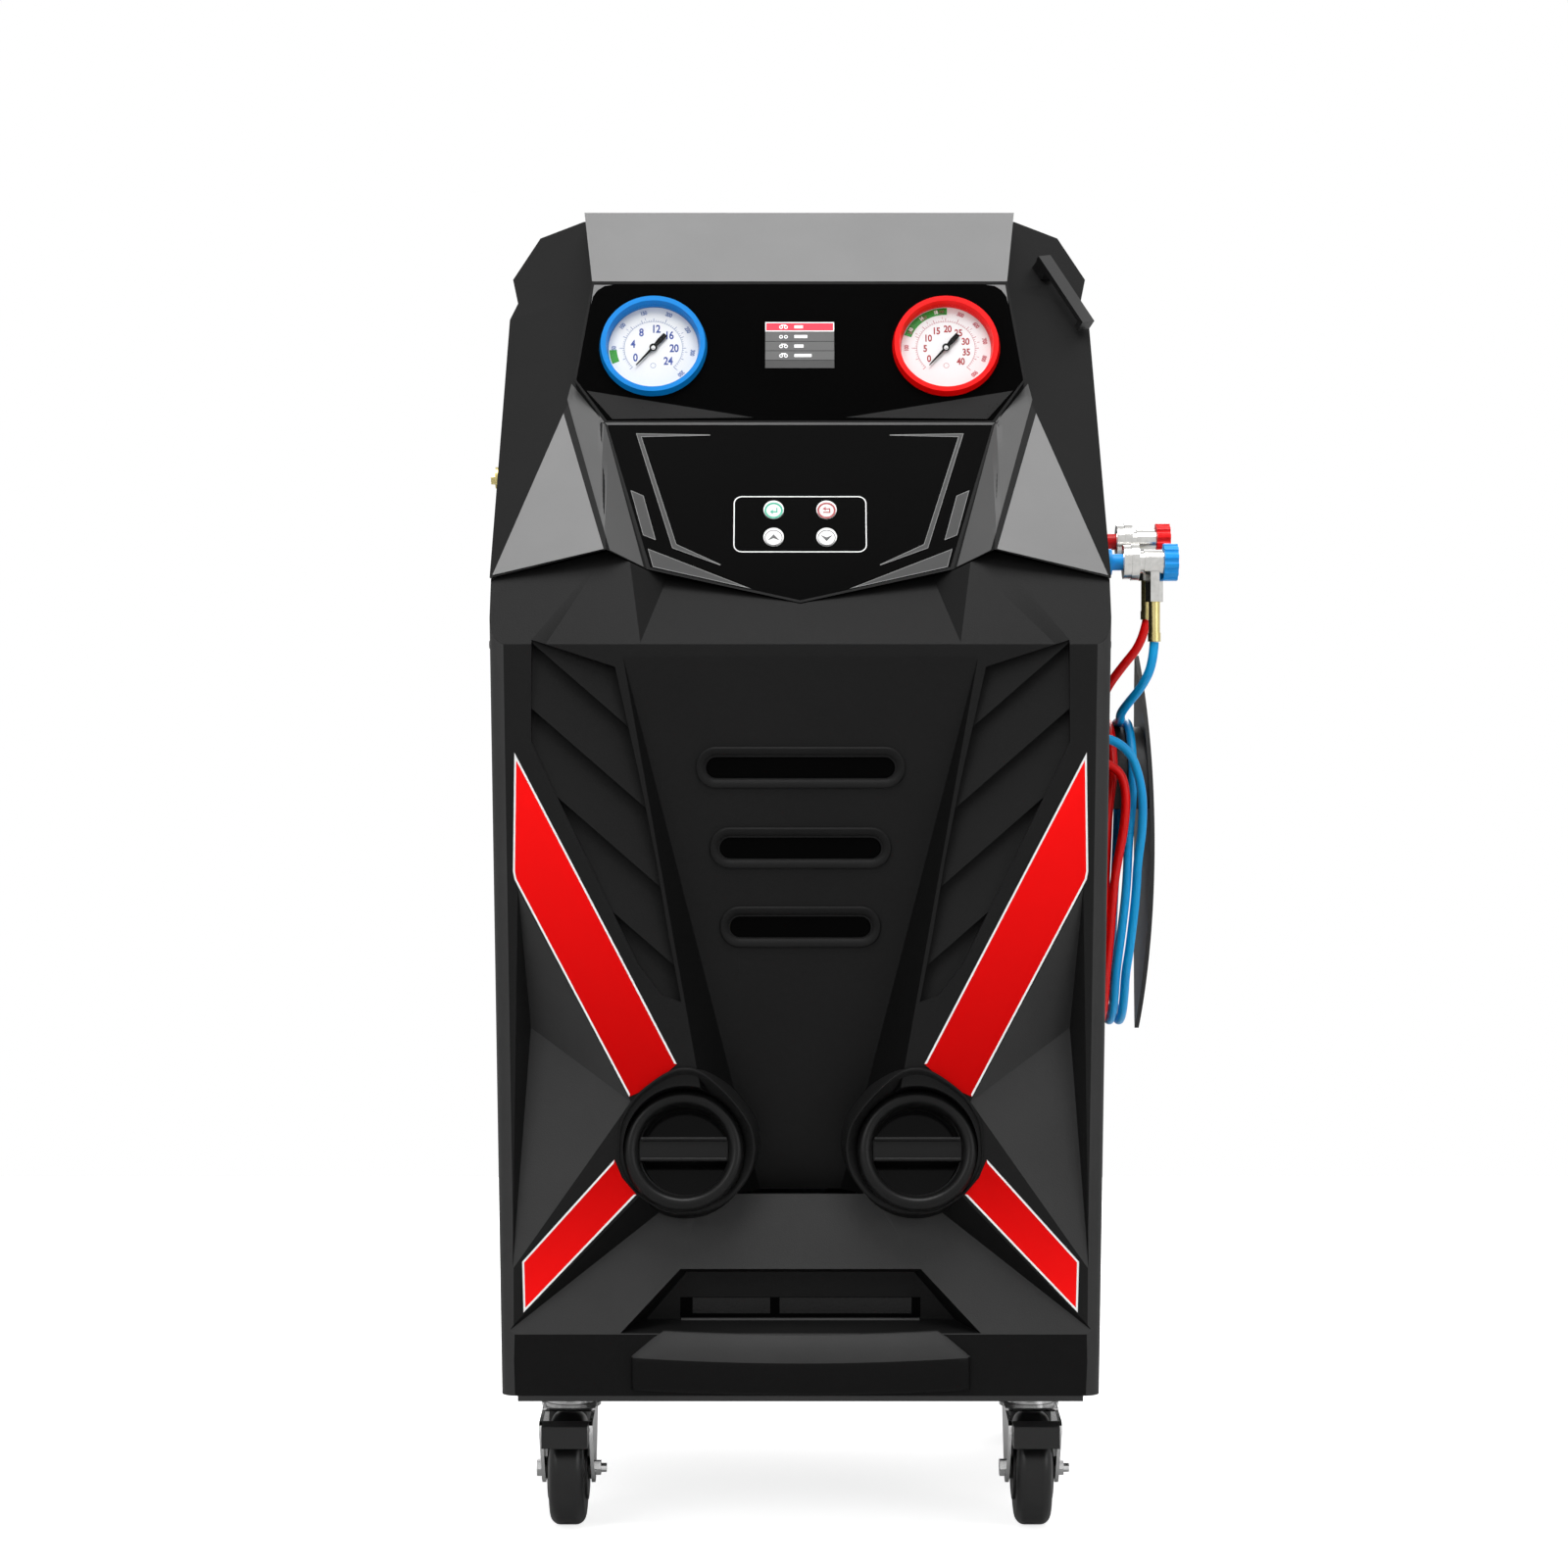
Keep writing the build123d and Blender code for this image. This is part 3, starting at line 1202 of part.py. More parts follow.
pieces = {
    "base_frame": base_frame.part, "front_cover": front_cover.part, "hood": hood.part,
    "left_side_panel": left_side_panel.part, "right_side_panel": right_side_panel.part,
    "rear_panel": rear_panel.part, "side_screws": side_screws.part, "gauge_panel": gauge_panel.part,
    "keypad_panel": keypad_panel.part, "display_screen": display_screen.part,
    "low_gauge_bezel": low_gauge_bezel, "high_gauge_bezel": high_gauge_bezel,
    "gauge_dials": gauge_dials.part, "gauge_lenses": gauge_lenses.part,
    "low_gauge_pointer": pointer(-1), "high_gauge_pointer": pointer(1),
    "start_button": key("start"), "back_button": key("back"), "up_button": key("up"), "down_button": key("down"),
    "control_board": control_board.part, "slot_inserts": slot_inserts.part, "intake_grille": intake_grille.part,
    "window_bezels": window_bezels.part, "window_lenses": window_lenses.part, "oil_bottles": oil_bottles.part,
    "hose_hanger": hose_hanger.part, "parking_posts": parking_posts.part, "coupler_bodies": coupler_bodies.part,
    "blue_coupler_sleeve": coupler_sleeve(*blue_coupler), "red_coupler_sleeve": coupler_sleeve(*red_coupler),
    "blue_coupler_knob": coupler_knob(*blue_coupler), "red_coupler_knob": coupler_knob(*red_coupler),
    "service_fittings": service_fittings.part, "probe_hook": probe_hook.part, "push_handle": push_handle.part,
    "power_inlet": power_inlet.part, "power_switch": power_switch.part, "fan_guard": fan_guard.part,
    "fan_rotor": fan_rotor.part, "rear_axle": rear_axle.part, "left_rear_wheel": rear_wheel(-1),
    "right_rear_wheel": rear_wheel(1), "caster_plates": caster_plates.part,
    "left_caster_fork": caster_fork(-1), "right_caster_fork": caster_fork(1),
    "left_caster_wheel": caster_wheel(-1), "right_caster_wheel": caster_wheel(1),
    "left_brake_pedal": brake_pedal(-1), "right_brake_pedal": brake_pedal(1),
    "storage_tank": storage_tank.part, "tank_scale": tank_scale.part, "compressor": compressor.part,
    "vacuum_pump": vacuum_pump.part, "condenser": condenser.part, "valve_manifold": valve_manifold.part,
    "red_hose_coil": loop_coil(red_coil_x), "blue_hose_coil": loop_coil(blue_coil_x),
    "red_hose": red_hose.part, "blue_hose": blue_hose.part,
}
for name, piece in pieces.items():
    placed = piece.moved(Location((cabinet_x, 0, 0)))
    placed.label = name
    export_step(placed, f"parts/{name}.step")
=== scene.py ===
import math

import bmesh
import bpy
from mathutils import Matrix, Vector
from mathutils.bvhtree import BVHTree


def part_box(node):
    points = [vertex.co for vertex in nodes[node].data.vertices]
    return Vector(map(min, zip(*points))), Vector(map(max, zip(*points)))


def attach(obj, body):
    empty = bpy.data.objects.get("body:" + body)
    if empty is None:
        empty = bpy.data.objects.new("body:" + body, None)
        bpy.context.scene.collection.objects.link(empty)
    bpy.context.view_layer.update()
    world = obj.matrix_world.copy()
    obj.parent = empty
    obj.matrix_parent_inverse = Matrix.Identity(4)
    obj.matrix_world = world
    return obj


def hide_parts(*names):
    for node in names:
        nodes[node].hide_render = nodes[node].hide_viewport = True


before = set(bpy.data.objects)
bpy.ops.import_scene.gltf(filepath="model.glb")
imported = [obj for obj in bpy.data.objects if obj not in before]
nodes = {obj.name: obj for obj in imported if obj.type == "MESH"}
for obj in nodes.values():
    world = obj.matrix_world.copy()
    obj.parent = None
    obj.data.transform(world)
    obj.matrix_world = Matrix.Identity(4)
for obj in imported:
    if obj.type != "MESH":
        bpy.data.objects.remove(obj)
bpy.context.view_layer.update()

# Camera. The machine is seen square from the front, from about 2.8 m before its cover and at
# half its height, which is how such a machine is pictured for a catalogue.
cabinet_x = -0.021
sensor_width = 36.0
picture_half = 0.688
camera_distance = 2.8
camera_place = (-14.6, -3085, 664)


def at(x, y, z):
    """A point of the cabinet in millimetres, as a point of the row in metres."""
    return Vector((cabinet_x + x / 1000, y / 1000, z / 1000))


camera = bpy.data.objects.new("camera", bpy.data.cameras.new("camera"))
camera.data.sensor_width = sensor_width
camera.data.lens = sensor_width * camera_distance / (2 * picture_half)
camera.location = at(*camera_place)
camera.rotation_euler = (math.radians(90), 0, 0)
bpy.context.scene.collection.objects.link(camera)
bpy.context.scene.camera = camera
bpy.context.scene.view_settings.view_transform = "Standard"


# Service hoses. Each is about 1.5 m of charging hose, 8.4 mm across: a braided tube in a smooth
# extruded cover, red for high pressure and blue for low. Each leaves the cabinet's barbed
# fitting, hangs in two loops over the hanger, and ends in its coupler, parked on a post.
hose_diameter = 8.4
loop_radius = 67.4
loop_depth = -75.0
low_bend = 507.3
high_bend = 656.0
front_strand = loop_depth - loop_radius
back_strand = loop_depth + loop_radius
# First and last angle of the points round a loop, and their count: round its foot, round its
# head, and round the head where the hose leaves it for the coupler.
foot_turn = (15, 165, 7)
head_turn = (195, 345, 7)
leaving_turn = (195, 255, 3)


def colour(code):
    """The linear colour of an sRGB hex value."""
    parts = [int(code[place:place + 2], 16) / 255 for place in (1, 3, 5)]
    return [part / 12.92 if part <= 0.04045 else ((part + 0.055) / 1.055) ** 2.4
            for part in parts] + [1.0]


def add_node(tree, kind, settings, sockets):
    """A shader node with its settings, and its sockets set or linked."""
    node = tree.nodes.new("ShaderNode" + kind)
    for name, value in settings.items():
        setattr(node, name, value)
    for name, value in sockets.items():
        if isinstance(value, bpy.types.NodeSocket):
            tree.links.new(value, node.inputs[name])
        else:
            node.inputs[name].default_value = value
    return node


def surface(name, light, dark, roughness, grain, relief, metallic=0.0, patch=70.0,
            shine=0.5, spread=0.06, **sockets):
    """A material that drifts between two shades over patches of so many millimetres. Its grain, also
    in millimetres, stands out by relief and changes the roughness by spread. Shine is the
    specular level."""
    material = bpy.data.materials.new(name)
    material.use_nodes = True
    tree = material.node_tree
    shader = tree.nodes["Principled BSDF"]
    place = add_node(tree, "TexCoord", {}, {}).outputs["Object"]
    drift = add_node(tree, "TexNoise", {}, {"Vector": place, "Scale": 1000 / patch, "Detail": 3.0})
    shade = add_node(tree, "Mix", {"data_type": "RGBA"}, {
        0: drift.outputs["Fac"], 6: colour(light), 7: colour(dark)})
    fine = add_node(tree, "TexNoise", {}, {"Vector": place, "Scale": 1000 / grain, "Detail": 2.0})
    gloss = add_node(tree, "MapRange", {}, {
        "Value": fine.outputs["Fac"], "To Min": roughness - spread, "To Max": roughness + spread})
    bump = add_node(tree, "Bump", {}, {
        "Height": fine.outputs["Fac"], "Strength": 1.0, "Distance": relief / 1000})
    tree.links.new(shade.outputs[2], shader.inputs["Base Color"])
    tree.links.new(gloss.outputs[0], shader.inputs["Roughness"])
    tree.links.new(bump.outputs[0], shader.inputs["Normal"])
    shader.inputs["Metallic"].default_value = metallic
    shader.inputs["Specular IOR Level"].default_value = shine
    for socket, value in sockets.items():
        shader.inputs[socket.replace("_", " ")].default_value = value
    return material


def strand(*places, depth):
    """Points up or down one side of a loop, each a width and a height."""
    return [(x, depth, z) for x, z in places]


def bend(x, height, first, last, count):
    """Points round the foot or the head of a loop, by the angle from its front."""
    turns = [math.radians(first + (last - first) * step / (count - 1)) for step in range(count)]
    return [(x, loop_depth - loop_radius * math.cos(turn), height - loop_radius * math.sin(turn))
            for turn in turns]


def hose(name, route, material, cad_nodes):
    """One hose on its smooth line, in the place of its CAD nodes, which it hides."""
    line = bpy.data.curves.new(name, "CURVE")
    line.dimensions = "3D"
    line.bevel_depth = hose_diameter / 2000
    line.bevel_resolution = 6
    line.resolution_u = 8
    line.use_fill_caps = True
    spline = line.splines.new("NURBS")
    spline.points.add(len(route) - 1)
    for point, place in zip(spline.points, route):
        point.co = (*at(*place), 1.0)
    spline.order_u = 3
    spline.use_endpoint_u = True
    line.materials.append(material)
    piece = bpy.data.objects.new(name, line)
    bpy.context.scene.collection.objects.link(piece)
    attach(piece, "cabinet")
    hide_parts(*cad_nodes)


blue_route = [(280, -161, 706), (300, -161, 701), (314, -158, 664), (315.5, -151, 625),
              (311, -146, 592), (310, -142.2, 560), (304, -142.2, 510)]
blue_route += bend(300.6, low_bend, *foot_turn)
blue_route += strand((303, 540), (306, 600), (307.8, 650), depth=back_strand)
blue_route += bend(307.8, high_bend, *head_turn)
blue_route += strand((306, 640), (303, 610), (301.5, 570), (297, 530), depth=front_strand)
blue_route += bend(291.6, low_bend, *foot_turn)
blue_route += strand((294, 540), (297, 600), (298.8, 650), depth=back_strand)
blue_route += bend(299, high_bend, *leaving_turn)
blue_route += [(298.8, -115, 722.8), (295.5, -139, 728), (299, -164, 736.5), (311, -184, 752.5),
               (320, -192.3, 773), (321, -193, 792.7)]
red_route = [(280, -155, 683.5), (294, -155, 678), (300, -155.5, 655), (298, -154.5, 625),
             (293.5, -152, 600), (290, -147, 578), (288, -142.2, 550), (286, -142.2, 520)]
red_route += bend(282.8, low_bend, *foot_turn)
red_route += strand((285, 540), (288, 600), (289.4, 650), depth=back_strand)
red_route += bend(289.8, high_bend, *head_turn)
red_route += strand((284.5, 640), (282, 600), (281, 560), (277, 520), depth=front_strand)
red_route += bend(274.2, low_bend, *foot_turn)
red_route += strand((276, 540), (279, 600), (280.6, 650), depth=back_strand)
red_route += bend(280.8, high_bend, *leaving_turn)
red_route += [(281, -102.5, 737), (285, -119.5, 753), (299, -128.5, 773), (317, -132.5, 795),
              (321, -133, 815.7)]

# Extruded thermoplastic rubber: even colour, a soft sheen, and the faint print of the braid below.
red_rubber = surface("red_hose_rubber", "#fa0808", "#e40404", 0.34, 3.0, 0.05, patch=25, shine=0.3)
blue_rubber = surface("blue_hose_rubber", "#14b6f6", "#0a9ce8", 0.34, 3.0, 0.05, patch=25, shine=0.3)
hose("blue_hose_line", blue_route, blue_rubber, ["blue_hose", "blue_hose_coil"])
hose("red_hose_line", red_route, red_rubber, ["red_hose", "red_hose_coil"])


# Studio. A pale matt floor and soft white light from the front left, the right and above.
# The background is white to the camera, and the floor keeps the machine's soft shadow.
lamp_target = at(0, -150, 620)
air_light = 0.22
air_white = 1.0
floor_half = 2.3
floor_lift = 0.8


def lamp(name, place, width, power):
    """A square soft box that faces the machine, in metres and watts."""
    light = bpy.data.lights.new(name, "AREA")
    light.size = width
    light.energy = power
    fitting = bpy.data.objects.new(name, light)
    fitting.location = place
    fitting.rotation_euler = (lamp_target - Vector(place)).to_track_quat("-Z", "Y").to_euler()
    bpy.context.scene.collection.objects.link(fitting)


lamp("key_lamp", (-2.2, -3.0, 2.6), 1.8, 36)
lamp("fill_lamp", (2.6, -2.6, 1.6), 1.8, 22)
lamp("top_lamp", (0.0, -1.1, 3.6), 2.0, 92)
lamp("back_lamp", (0.6, 3.0, 2.4), 1.8, 40)

world = bpy.data.worlds.new("studio_air")
world.use_nodes = True
bpy.context.scene.world = world
air = world.node_tree
seen = add_node(air, "LightPath", {}, {})
direct = add_node(air, "Math", {"operation": "MAXIMUM"}, {
    0: seen.outputs["Is Camera Ray"], 1: seen.outputs["Is Glossy Ray"]})
through = add_node(air, "Math", {"operation": "MAXIMUM"}, {
    0: direct.outputs[0], 1: seen.outputs["Is Transmission Ray"]})
soft_light = add_node(air, "Background", {}, {"Color": colour("#ffffff"), "Strength": air_light})
white_view = add_node(air, "Background", {}, {"Color": colour("#ffffff"), "Strength": air_white})
blend = add_node(air, "MixShader", {}, {
    0: through.outputs[0], 1: soft_light.outputs[0], 2: white_view.outputs[0]})
air.links.new(blend.outputs[0], air.nodes["World Output"].inputs["Surface"])

floor_form = bmesh.new()
bmesh.ops.create_grid(floor_form, x_segments=4, y_segments=4, size=floor_half)
floor_mesh = bpy.data.meshes.new("floor")
floor_form.to_mesh(floor_mesh)
floor_form.free()
floor = bpy.data.objects.new("floor", floor_mesh)
bpy.context.scene.collection.objects.link(floor)
# Matt painted board, lifted to white for the camera alone so that only the shadow shows on it.
floor_paint = surface("matt_floor_board", "#f4f4f4", "#f0f0f0", 0.8, 4.0, 0.02, patch=900)
floor_tree = floor_paint.node_tree
floor_seen = add_node(floor_tree, "LightPath", {}, {})
floor_view = add_node(floor_tree, "Math", {"operation": "MULTIPLY"}, {
    0: floor_seen.outputs["Is Camera Ray"], 1: floor_lift})
floor_glow = add_node(floor_tree, "Emission", {}, {
    "Color": colour("#ffffff"), "Strength": floor_view.outputs[0]})
floor_sum = add_node(floor_tree, "AddShader", {}, {
    0: floor_tree.nodes["Principled BSDF"].outputs[0], 1: floor_glow.outputs[0]})
floor_tree.links.new(floor_sum.outputs[0], floor_tree.nodes["Material Output"].inputs["Surface"])
floor_mesh.materials.append(floor_paint)


# Hose fittings. Turned brass: barbs with crimped ferrules where the hoses leave the cabinet, and
# nickel-plated quick couplers with a sliding sleeve and a coloured valve knob at the far ends.
def dress(material, *names):
    """Gives CAD nodes their material."""
    for name in names:
        slots = nodes[name].data.materials
        slots.clear()
        slots.append(material)


# Turned brass: warm, with fine tool marks.
brass = surface("turned_brass", "#cfc28a", "#b9a86c", 0.28, 0.6, 0.02, metallic=1.0, patch=8)
# Nickel plate over brass: near-white metal with a soft blur.
nickel = surface("nickel_plate", "#d6d5d2", "#b4b3b0", 0.18, 0.8, 0.01, metallic=1.0, patch=6)
# Moulded polypropylene: a strong even colour with a satin sheen.
red_plastic = surface("red_moulded_plastic", "#f5121a", "#e00d12", 0.36, 0.8, 0.03, patch=12,
                      shine=0.25)
blue_plastic = surface("blue_moulded_plastic", "#26a6f4", "#1490e2", 0.36, 0.8, 0.03, patch=12,
                       shine=0.25)
dress(brass, "service_fittings")
dress(nickel, "coupler_bodies", "blue_coupler_sleeve", "red_coupler_sleeve")
dress(red_plastic, "red_coupler_knob", "parking_posts")
dress(blue_plastic, "blue_coupler_knob")
# The blue fittings stand before this depth and the red ones behind it. The crimped brass tails
# of the couplers hang below their plated hexagons.
between_fittings = at(0, -163, 0).y
blue_tail_top = 829.0
red_tail_top = 852.0
posts = nodes["parking_posts"].data
posts.materials.append(blue_plastic)
for facet in posts.polygons:
    facet.material_index = int(facet.center.y < between_fittings)
bodies = nodes["coupler_bodies"].data
bodies.materials.append(brass)
for facet in bodies.polygons:
    tail_top = blue_tail_top if facet.center.y < between_fittings else red_tail_top
    facet.material_index = int(facet.center.z * 1000 < tail_top)


# Base. A welded steel tray in black powder coat carries everything, with an axle of bright bar
# behind it and two rubber-tyred wheels on moulded hubs.
# Powder coat: a satin black with a slight orange peel.
black_coat = surface("black_powder_coat", "#1d1d1d", "#141414", 0.42, 1.6, 0.05)
# Drawn steel bar and plate: light grey, and smooth enough for blurred reflections.
bright_steel = surface("bright_steel", "#c4c4c4", "#a5a5a5", 0.22, 0.7, 0.01, metallic=1.0, patch=10)
# Solid grey-black tyre rubber, dull, with the dust of use.
tyre_rubber = surface("tyre_rubber", "#232323", "#191919", 0.72, 1.2, 0.08, patch=20)
dress(black_coat, "base_frame")
dress(bright_steel, "rear_axle", "caster_plates")
dress(tyre_rubber, "left_rear_wheel", "right_rear_wheel")

# Casters. Pressed and chromed forks turn in a double ball race. Each holds a polyurethane wheel
# on its axle bolt, and a steel brake pedal in black enamel.
# Chrome on pressed steel: nearly a mirror, a little darker than what it reflects.
chrome = surface("chrome_plate", "#d0d0d0", "#bcbcbc", 0.12, 1.0, 0.01, metallic=1.0, patch=9)
# Cast polyurethane: a smooth black with a low sheen.
caster_tread = surface("caster_tread", "#121212", "#0c0c0c", 0.32, 1.0, 0.03, patch=15, shine=0.3)
# Stoved enamel: black and as smooth as the pressed steel below it.
pedal_plate = surface("black_pedal_plate", "#151515", "#0e0e0e", 0.3, 0.8, 0.02, patch=10, shine=0.3)
for side in ("left", "right"):
    dress(chrome, side + "_caster_fork")
    dress(caster_tread, side + "_caster_wheel")
    dress(pedal_plate, side + "_brake_pedal")

# Side and rear panels. Folded sheet steel, 1.2 mm, powder coated black and held by pan-head
# screws along their front and rear edges.
# Powder coat on sheet: a flat black whose orange peel breaks up the reflections.
panel_coat = surface("panel_powder_coat", "#222222", "#1a1a1a", 0.46, 1.8, 0.06, shine=0.2)
# Black oxide on steel: dark, with a dull metal glint.
screw_black = surface("black_oxide_screws", "#2a2a2a", "#1e1e1e", 0.35, 0.6, 0.02, metallic=0.6,
                      patch=6)
dress(panel_coat, "left_side_panel", "right_side_panel", "rear_panel")
dress(screw_black, "side_screws")

# Rear services. A wire guard covers the moulded rotor that cools the condenser. The mains inlet
# is a black moulding with its pins set in it, and its rocker switch has a red cap.
# Dip-coated wire: smooth and dark grey.
wire_coat = surface("guard_wire_coat", "#3a3a3a", "#2c2c2c", 0.38, 0.7, 0.02, patch=8)
# Moulded nylon: black with a soft sheen.
black_nylon = surface("black_nylon", "#1c1c1c", "#131313", 0.4, 0.9, 0.03, patch=15)
# Moulded polycarbonate: a clear, even red with some gloss.
switch_red = surface("red_switch_plastic", "#c81414", "#ad0e0e", 0.3, 0.8, 0.02, patch=8)
dress(wire_coat, "fan_guard")
dress(black_nylon, "fan_rotor", "power_inlet")
dress(switch_red, "power_switch")


# Front cover. One thermoformed ABS shell with a fine leather-like grain. Slots and the grille
# windows are let into it, and two pairs of red film stripes run to the oil windows.
# Grained ABS: black that the light greys, rough, with a grain of about 1.4 mm.
grained_abs = surface("grained_black_abs", "#161616", "#111111", 0.52, 1.4, 0.1, shine=0.1)
# A paler copy of the same for the slopes and flanks that face the lamps: painted light.
painted_light_black_abs = surface("grained_black_abs_painted_light", "#3a3a3a", "#323232", 0.55, 1.4, 0.12, shine=0.1)
# A darker copy of the same for the pockets, the faces turned down and the foot: painted shade.
painted_shade_black_abs = surface("grained_black_abs_painted_shade", "#0d0d0d", "#090909", 0.5, 1.4, 0.1, shine=0.08)
# Cast acrylic, printed black on its back: as smooth as glass, and very dark.
gloss_black = surface("gloss_black_acrylic", "#060606", "#040404", 0.2, 3.0, 0.004, shine=0.008)
# Fine-textured ABS of the small trim: black with a satin sheen.
satin_black = surface("satin_black_abs", "#141414", "#0d0d0d", 0.34, 1.4, 0.03, shine=0.15)
dress(grained_abs, "front_cover")
# The slope below the windows and the outer flanks take the paler copy as painted light. The pockets of
# the valley, the faces turned down and the foot take the darker copy as painted shade. They are told
# apart by which way a facet faces and by its place.
slope_top = 300
flank_top = 620
flank_inside = 205
pocket_outside = 200
foot_top = 186
cover = nodes["front_cover"].data
cover.materials.append(painted_light_black_abs)
cover.materials.append(painted_shade_black_abs)
for facet in cover.polygons:
    across, back, up = facet.normal
    middle = (facet.center - at(0, 0, 0)) * 1000
    outward = across * (1 if middle.x > 0 else -1)
    slope = abs(across) < 0.05 and 0.2 < up < 0.4 and middle.z < slope_top and back < -0.9
    flank = outward > 0.08 and back < -0.2 and middle.z < flank_top and abs(middle.x) > flank_inside
    pocket = (outward < -0.3 and up < 0.3 and abs(middle.x) < pocket_outside) or up < -0.4
    foot = middle.z < foot_top and back < -0.9 and not slope
    facet.material_index = 1 if slope or flank else 2 if pocket or foot else 0
dress(satin_black, "intake_grille")
dress(gloss_black, "slot_inserts")


soft_angle = 28.0


def soften(name, width):
    """Rounds a moulded node's edges, in millimetres."""
    node = nodes[name]
    weld = node.modifiers.new("weld", "WELD")
    weld.merge_threshold = 0.00002
    edges = node.modifiers.new("soft_edges", "BEVEL")
    edges.width = width / 1000
    edges.segments = 3
    edges.limit_method = "ANGLE"
    edges.angle_limit = math.radians(soft_angle)
    edges.use_clamp_overlap = True
    edges.harden_normals = False


soften("front_cover", 4.0)


def skin(node):
    """A CAD node's surface, to lay films on."""
    form = bmesh.new()
    form.from_mesh(nodes[node].data)
    tree = BVHTree.FromBMesh(form)
    form.free()
    return tree


def add_piece(name, form, body, slot, *materials):
    """An object from a finished form, on its body."""
    bmesh.ops.recalc_face_normals(form, faces=form.faces)
    mesh = bpy.data.meshes.new(name)
    form.to_mesh(mesh)
    form.free()
    for material in materials:
        mesh.materials.append(material)
    piece = bpy.data.objects.new(name, mesh)
    bpy.context.scene.collection.objects.link(piece)
    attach(piece, body)


# Films and prints are cut every 5 mm, so that they follow the face below, and lie 0.7 mm over it.
# Each point is felt for from in front of the machine, in millimetres.
film_step = 5.0
film_height = 0.7
before_machine = -1000.0
near_cover = -200.0


def lay_film(name, outline, tree, slot, materials, border_width, bare=None):
    """A thin film on a moulded face, used for prints and for painted light. The outline is widths and
    heights on the cabinet. The last material is the border's, which is left out where the rule bare(x,
    z) says so."""
    form = bmesh.new()
    ring = [form.verts.new((x / 1000, 0, z / 1000)) for x, z in outline]
    face = form.faces.new(ring)
    form.normal_update()
    rim = bmesh.ops.inset_region(form, faces=[face], thickness=border_width / 1000,
                                 use_even_offset=True, use_boundary=True)
    for edge_face in rim["faces"]:
        middle = edge_face.calc_center_median() * 1000
        if not (bare and bare(middle.x, middle.z)):
            edge_face.material_index = len(materials) - 1
    low = [min(point[side] for point in outline) for side in (0, 1)]
    high = [max(point[side] for point in outline) for side in (0, 1)]
    for side, direction in ((0, (1, 0, 0)), (1, (0, 0, 1))):
        place = low[side] + film_step
        while place < high[side]:
            bmesh.ops.bisect_plane(form, geom=form.verts[:] + form.edges[:] + form.faces[:],
                                   plane_co=[axis * place / 1000 for axis in direction],
                                   plane_no=direction)
            place += film_step
    last = tree.find_nearest(at(outline[0][0], near_cover, outline[0][1]))[0]
    for vertex in form.verts:
        before = at(vertex.co.x * 1000, before_machine, vertex.co.z * 1000)
        hit = tree.ray_cast(before, Vector((0, 1, 0)))[0]
        if hit is None:
            hit = tree.find_nearest(Vector((before.x, last.y, before.z)))[0]
        last = hit
        vertex.co = hit + Vector((0, -film_height / 1000, 0))
    bmesh.ops.solidify(form, geom=form.faces[:], thickness=film_height / 2000)
    add_piece(name, form, "cabinet", slot, *materials)


def lay_pair(name, outline, *rest):
    """A film on the left, as it is drawn, and its mirror image on the right."""
    for side, mirror in (("left", 1), ("right", -1)):
        lay_film(f"{side}_{name}", [(x * mirror, z) for x, z in outline], *rest)


# Printed vinyl film: a saturated red and a white edge line. The red is darkened about the oil windows'
# height as painted shade, and brightened above and below it as painted light on the faces that turn to
# the lamps. It changes between these heights, in metres.
stripe_foot = 0.2
stripe_shade_height = 0.36
stripe_light_height = 0.66
stripe_red = surface("red_vinyl_film_painted_light", "#f51616", "#ea1111", 0.45, 2.0, 0.005, patch=200, shine=0.05)
stripe_tree = stripe_red.node_tree
stripe_place = add_node(stripe_tree, "SeparateXYZ", {}, {
    0: stripe_tree.nodes["Texture Coordinate"].outputs["Object"]})
stripe_range = add_node(stripe_tree, "MapRange", {}, {
    "Value": stripe_place.outputs["Z"], "From Min": stripe_shade_height, "From Max": stripe_light_height,
    "To Min": 0.0, "To Max": 1.0})
stripe_fall = add_node(stripe_tree, "MapRange", {}, {
    "Value": stripe_place.outputs["Z"], "From Min": stripe_foot, "From Max": stripe_shade_height,
    "To Min": 1.0, "To Max": 0.0})
# Painted light on the stripe: dark red at the shaded height, rising to bright red above and below it.
stripe_painted_light = add_node(stripe_tree, "Math", {"operation": "MAXIMUM"}, {
    0: stripe_range.outputs[0], 1: stripe_fall.outputs[0]})
stripe_mix = add_node(stripe_tree, "Mix", {"data_type": "RGBA"}, {
    0: stripe_painted_light.outputs[0], 6: colour("#b20000"), 7: colour("#ff1212")})
stripe_tree.links.new(stripe_mix.outputs[2], stripe_tree.nodes["Principled BSDF"].inputs["Base Color"])
stripe_white = surface("white_vinyl_film", "#f2f2f2", "#eaeaea", 0.3, 2.0, 0.005, patch=40)
stripe_line = 1.7
cover_skin = skin("front_cover")
upper_stripe = [(-252.6, 691.7), (-253.6, 587.1), (-252.2, 580.0), (-248.8, 573.3), (-150.8, 388.9),
                (-138.8, 394.1), (-122.4, 405.3), (-109.0, 417.6)]
lower_stripe = [(-163.7, 333.8), (-157.0, 318.0), (-144.3, 303.2), (-243.2, 200.1), (-244.5, 244.4)]
# The white line stops where a stripe runs under the ridge of its oil window: inside this width,
# and below or above this height.
upper_end = (149, 421)
lower_end = (161, 300)
lay_pair("upper_stripe", upper_stripe, cover_skin, "red_plastic", (stripe_red, stripe_white),
         stripe_line, lambda x, z: abs(x) < upper_end[0] and z < upper_end[1])
lay_pair("lower_stripe", lower_stripe, cover_skin, "red_plastic", (stripe_red, stripe_white),
         stripe_line, lambda x, z: abs(x) < lower_end[0] and z > lower_end[1])


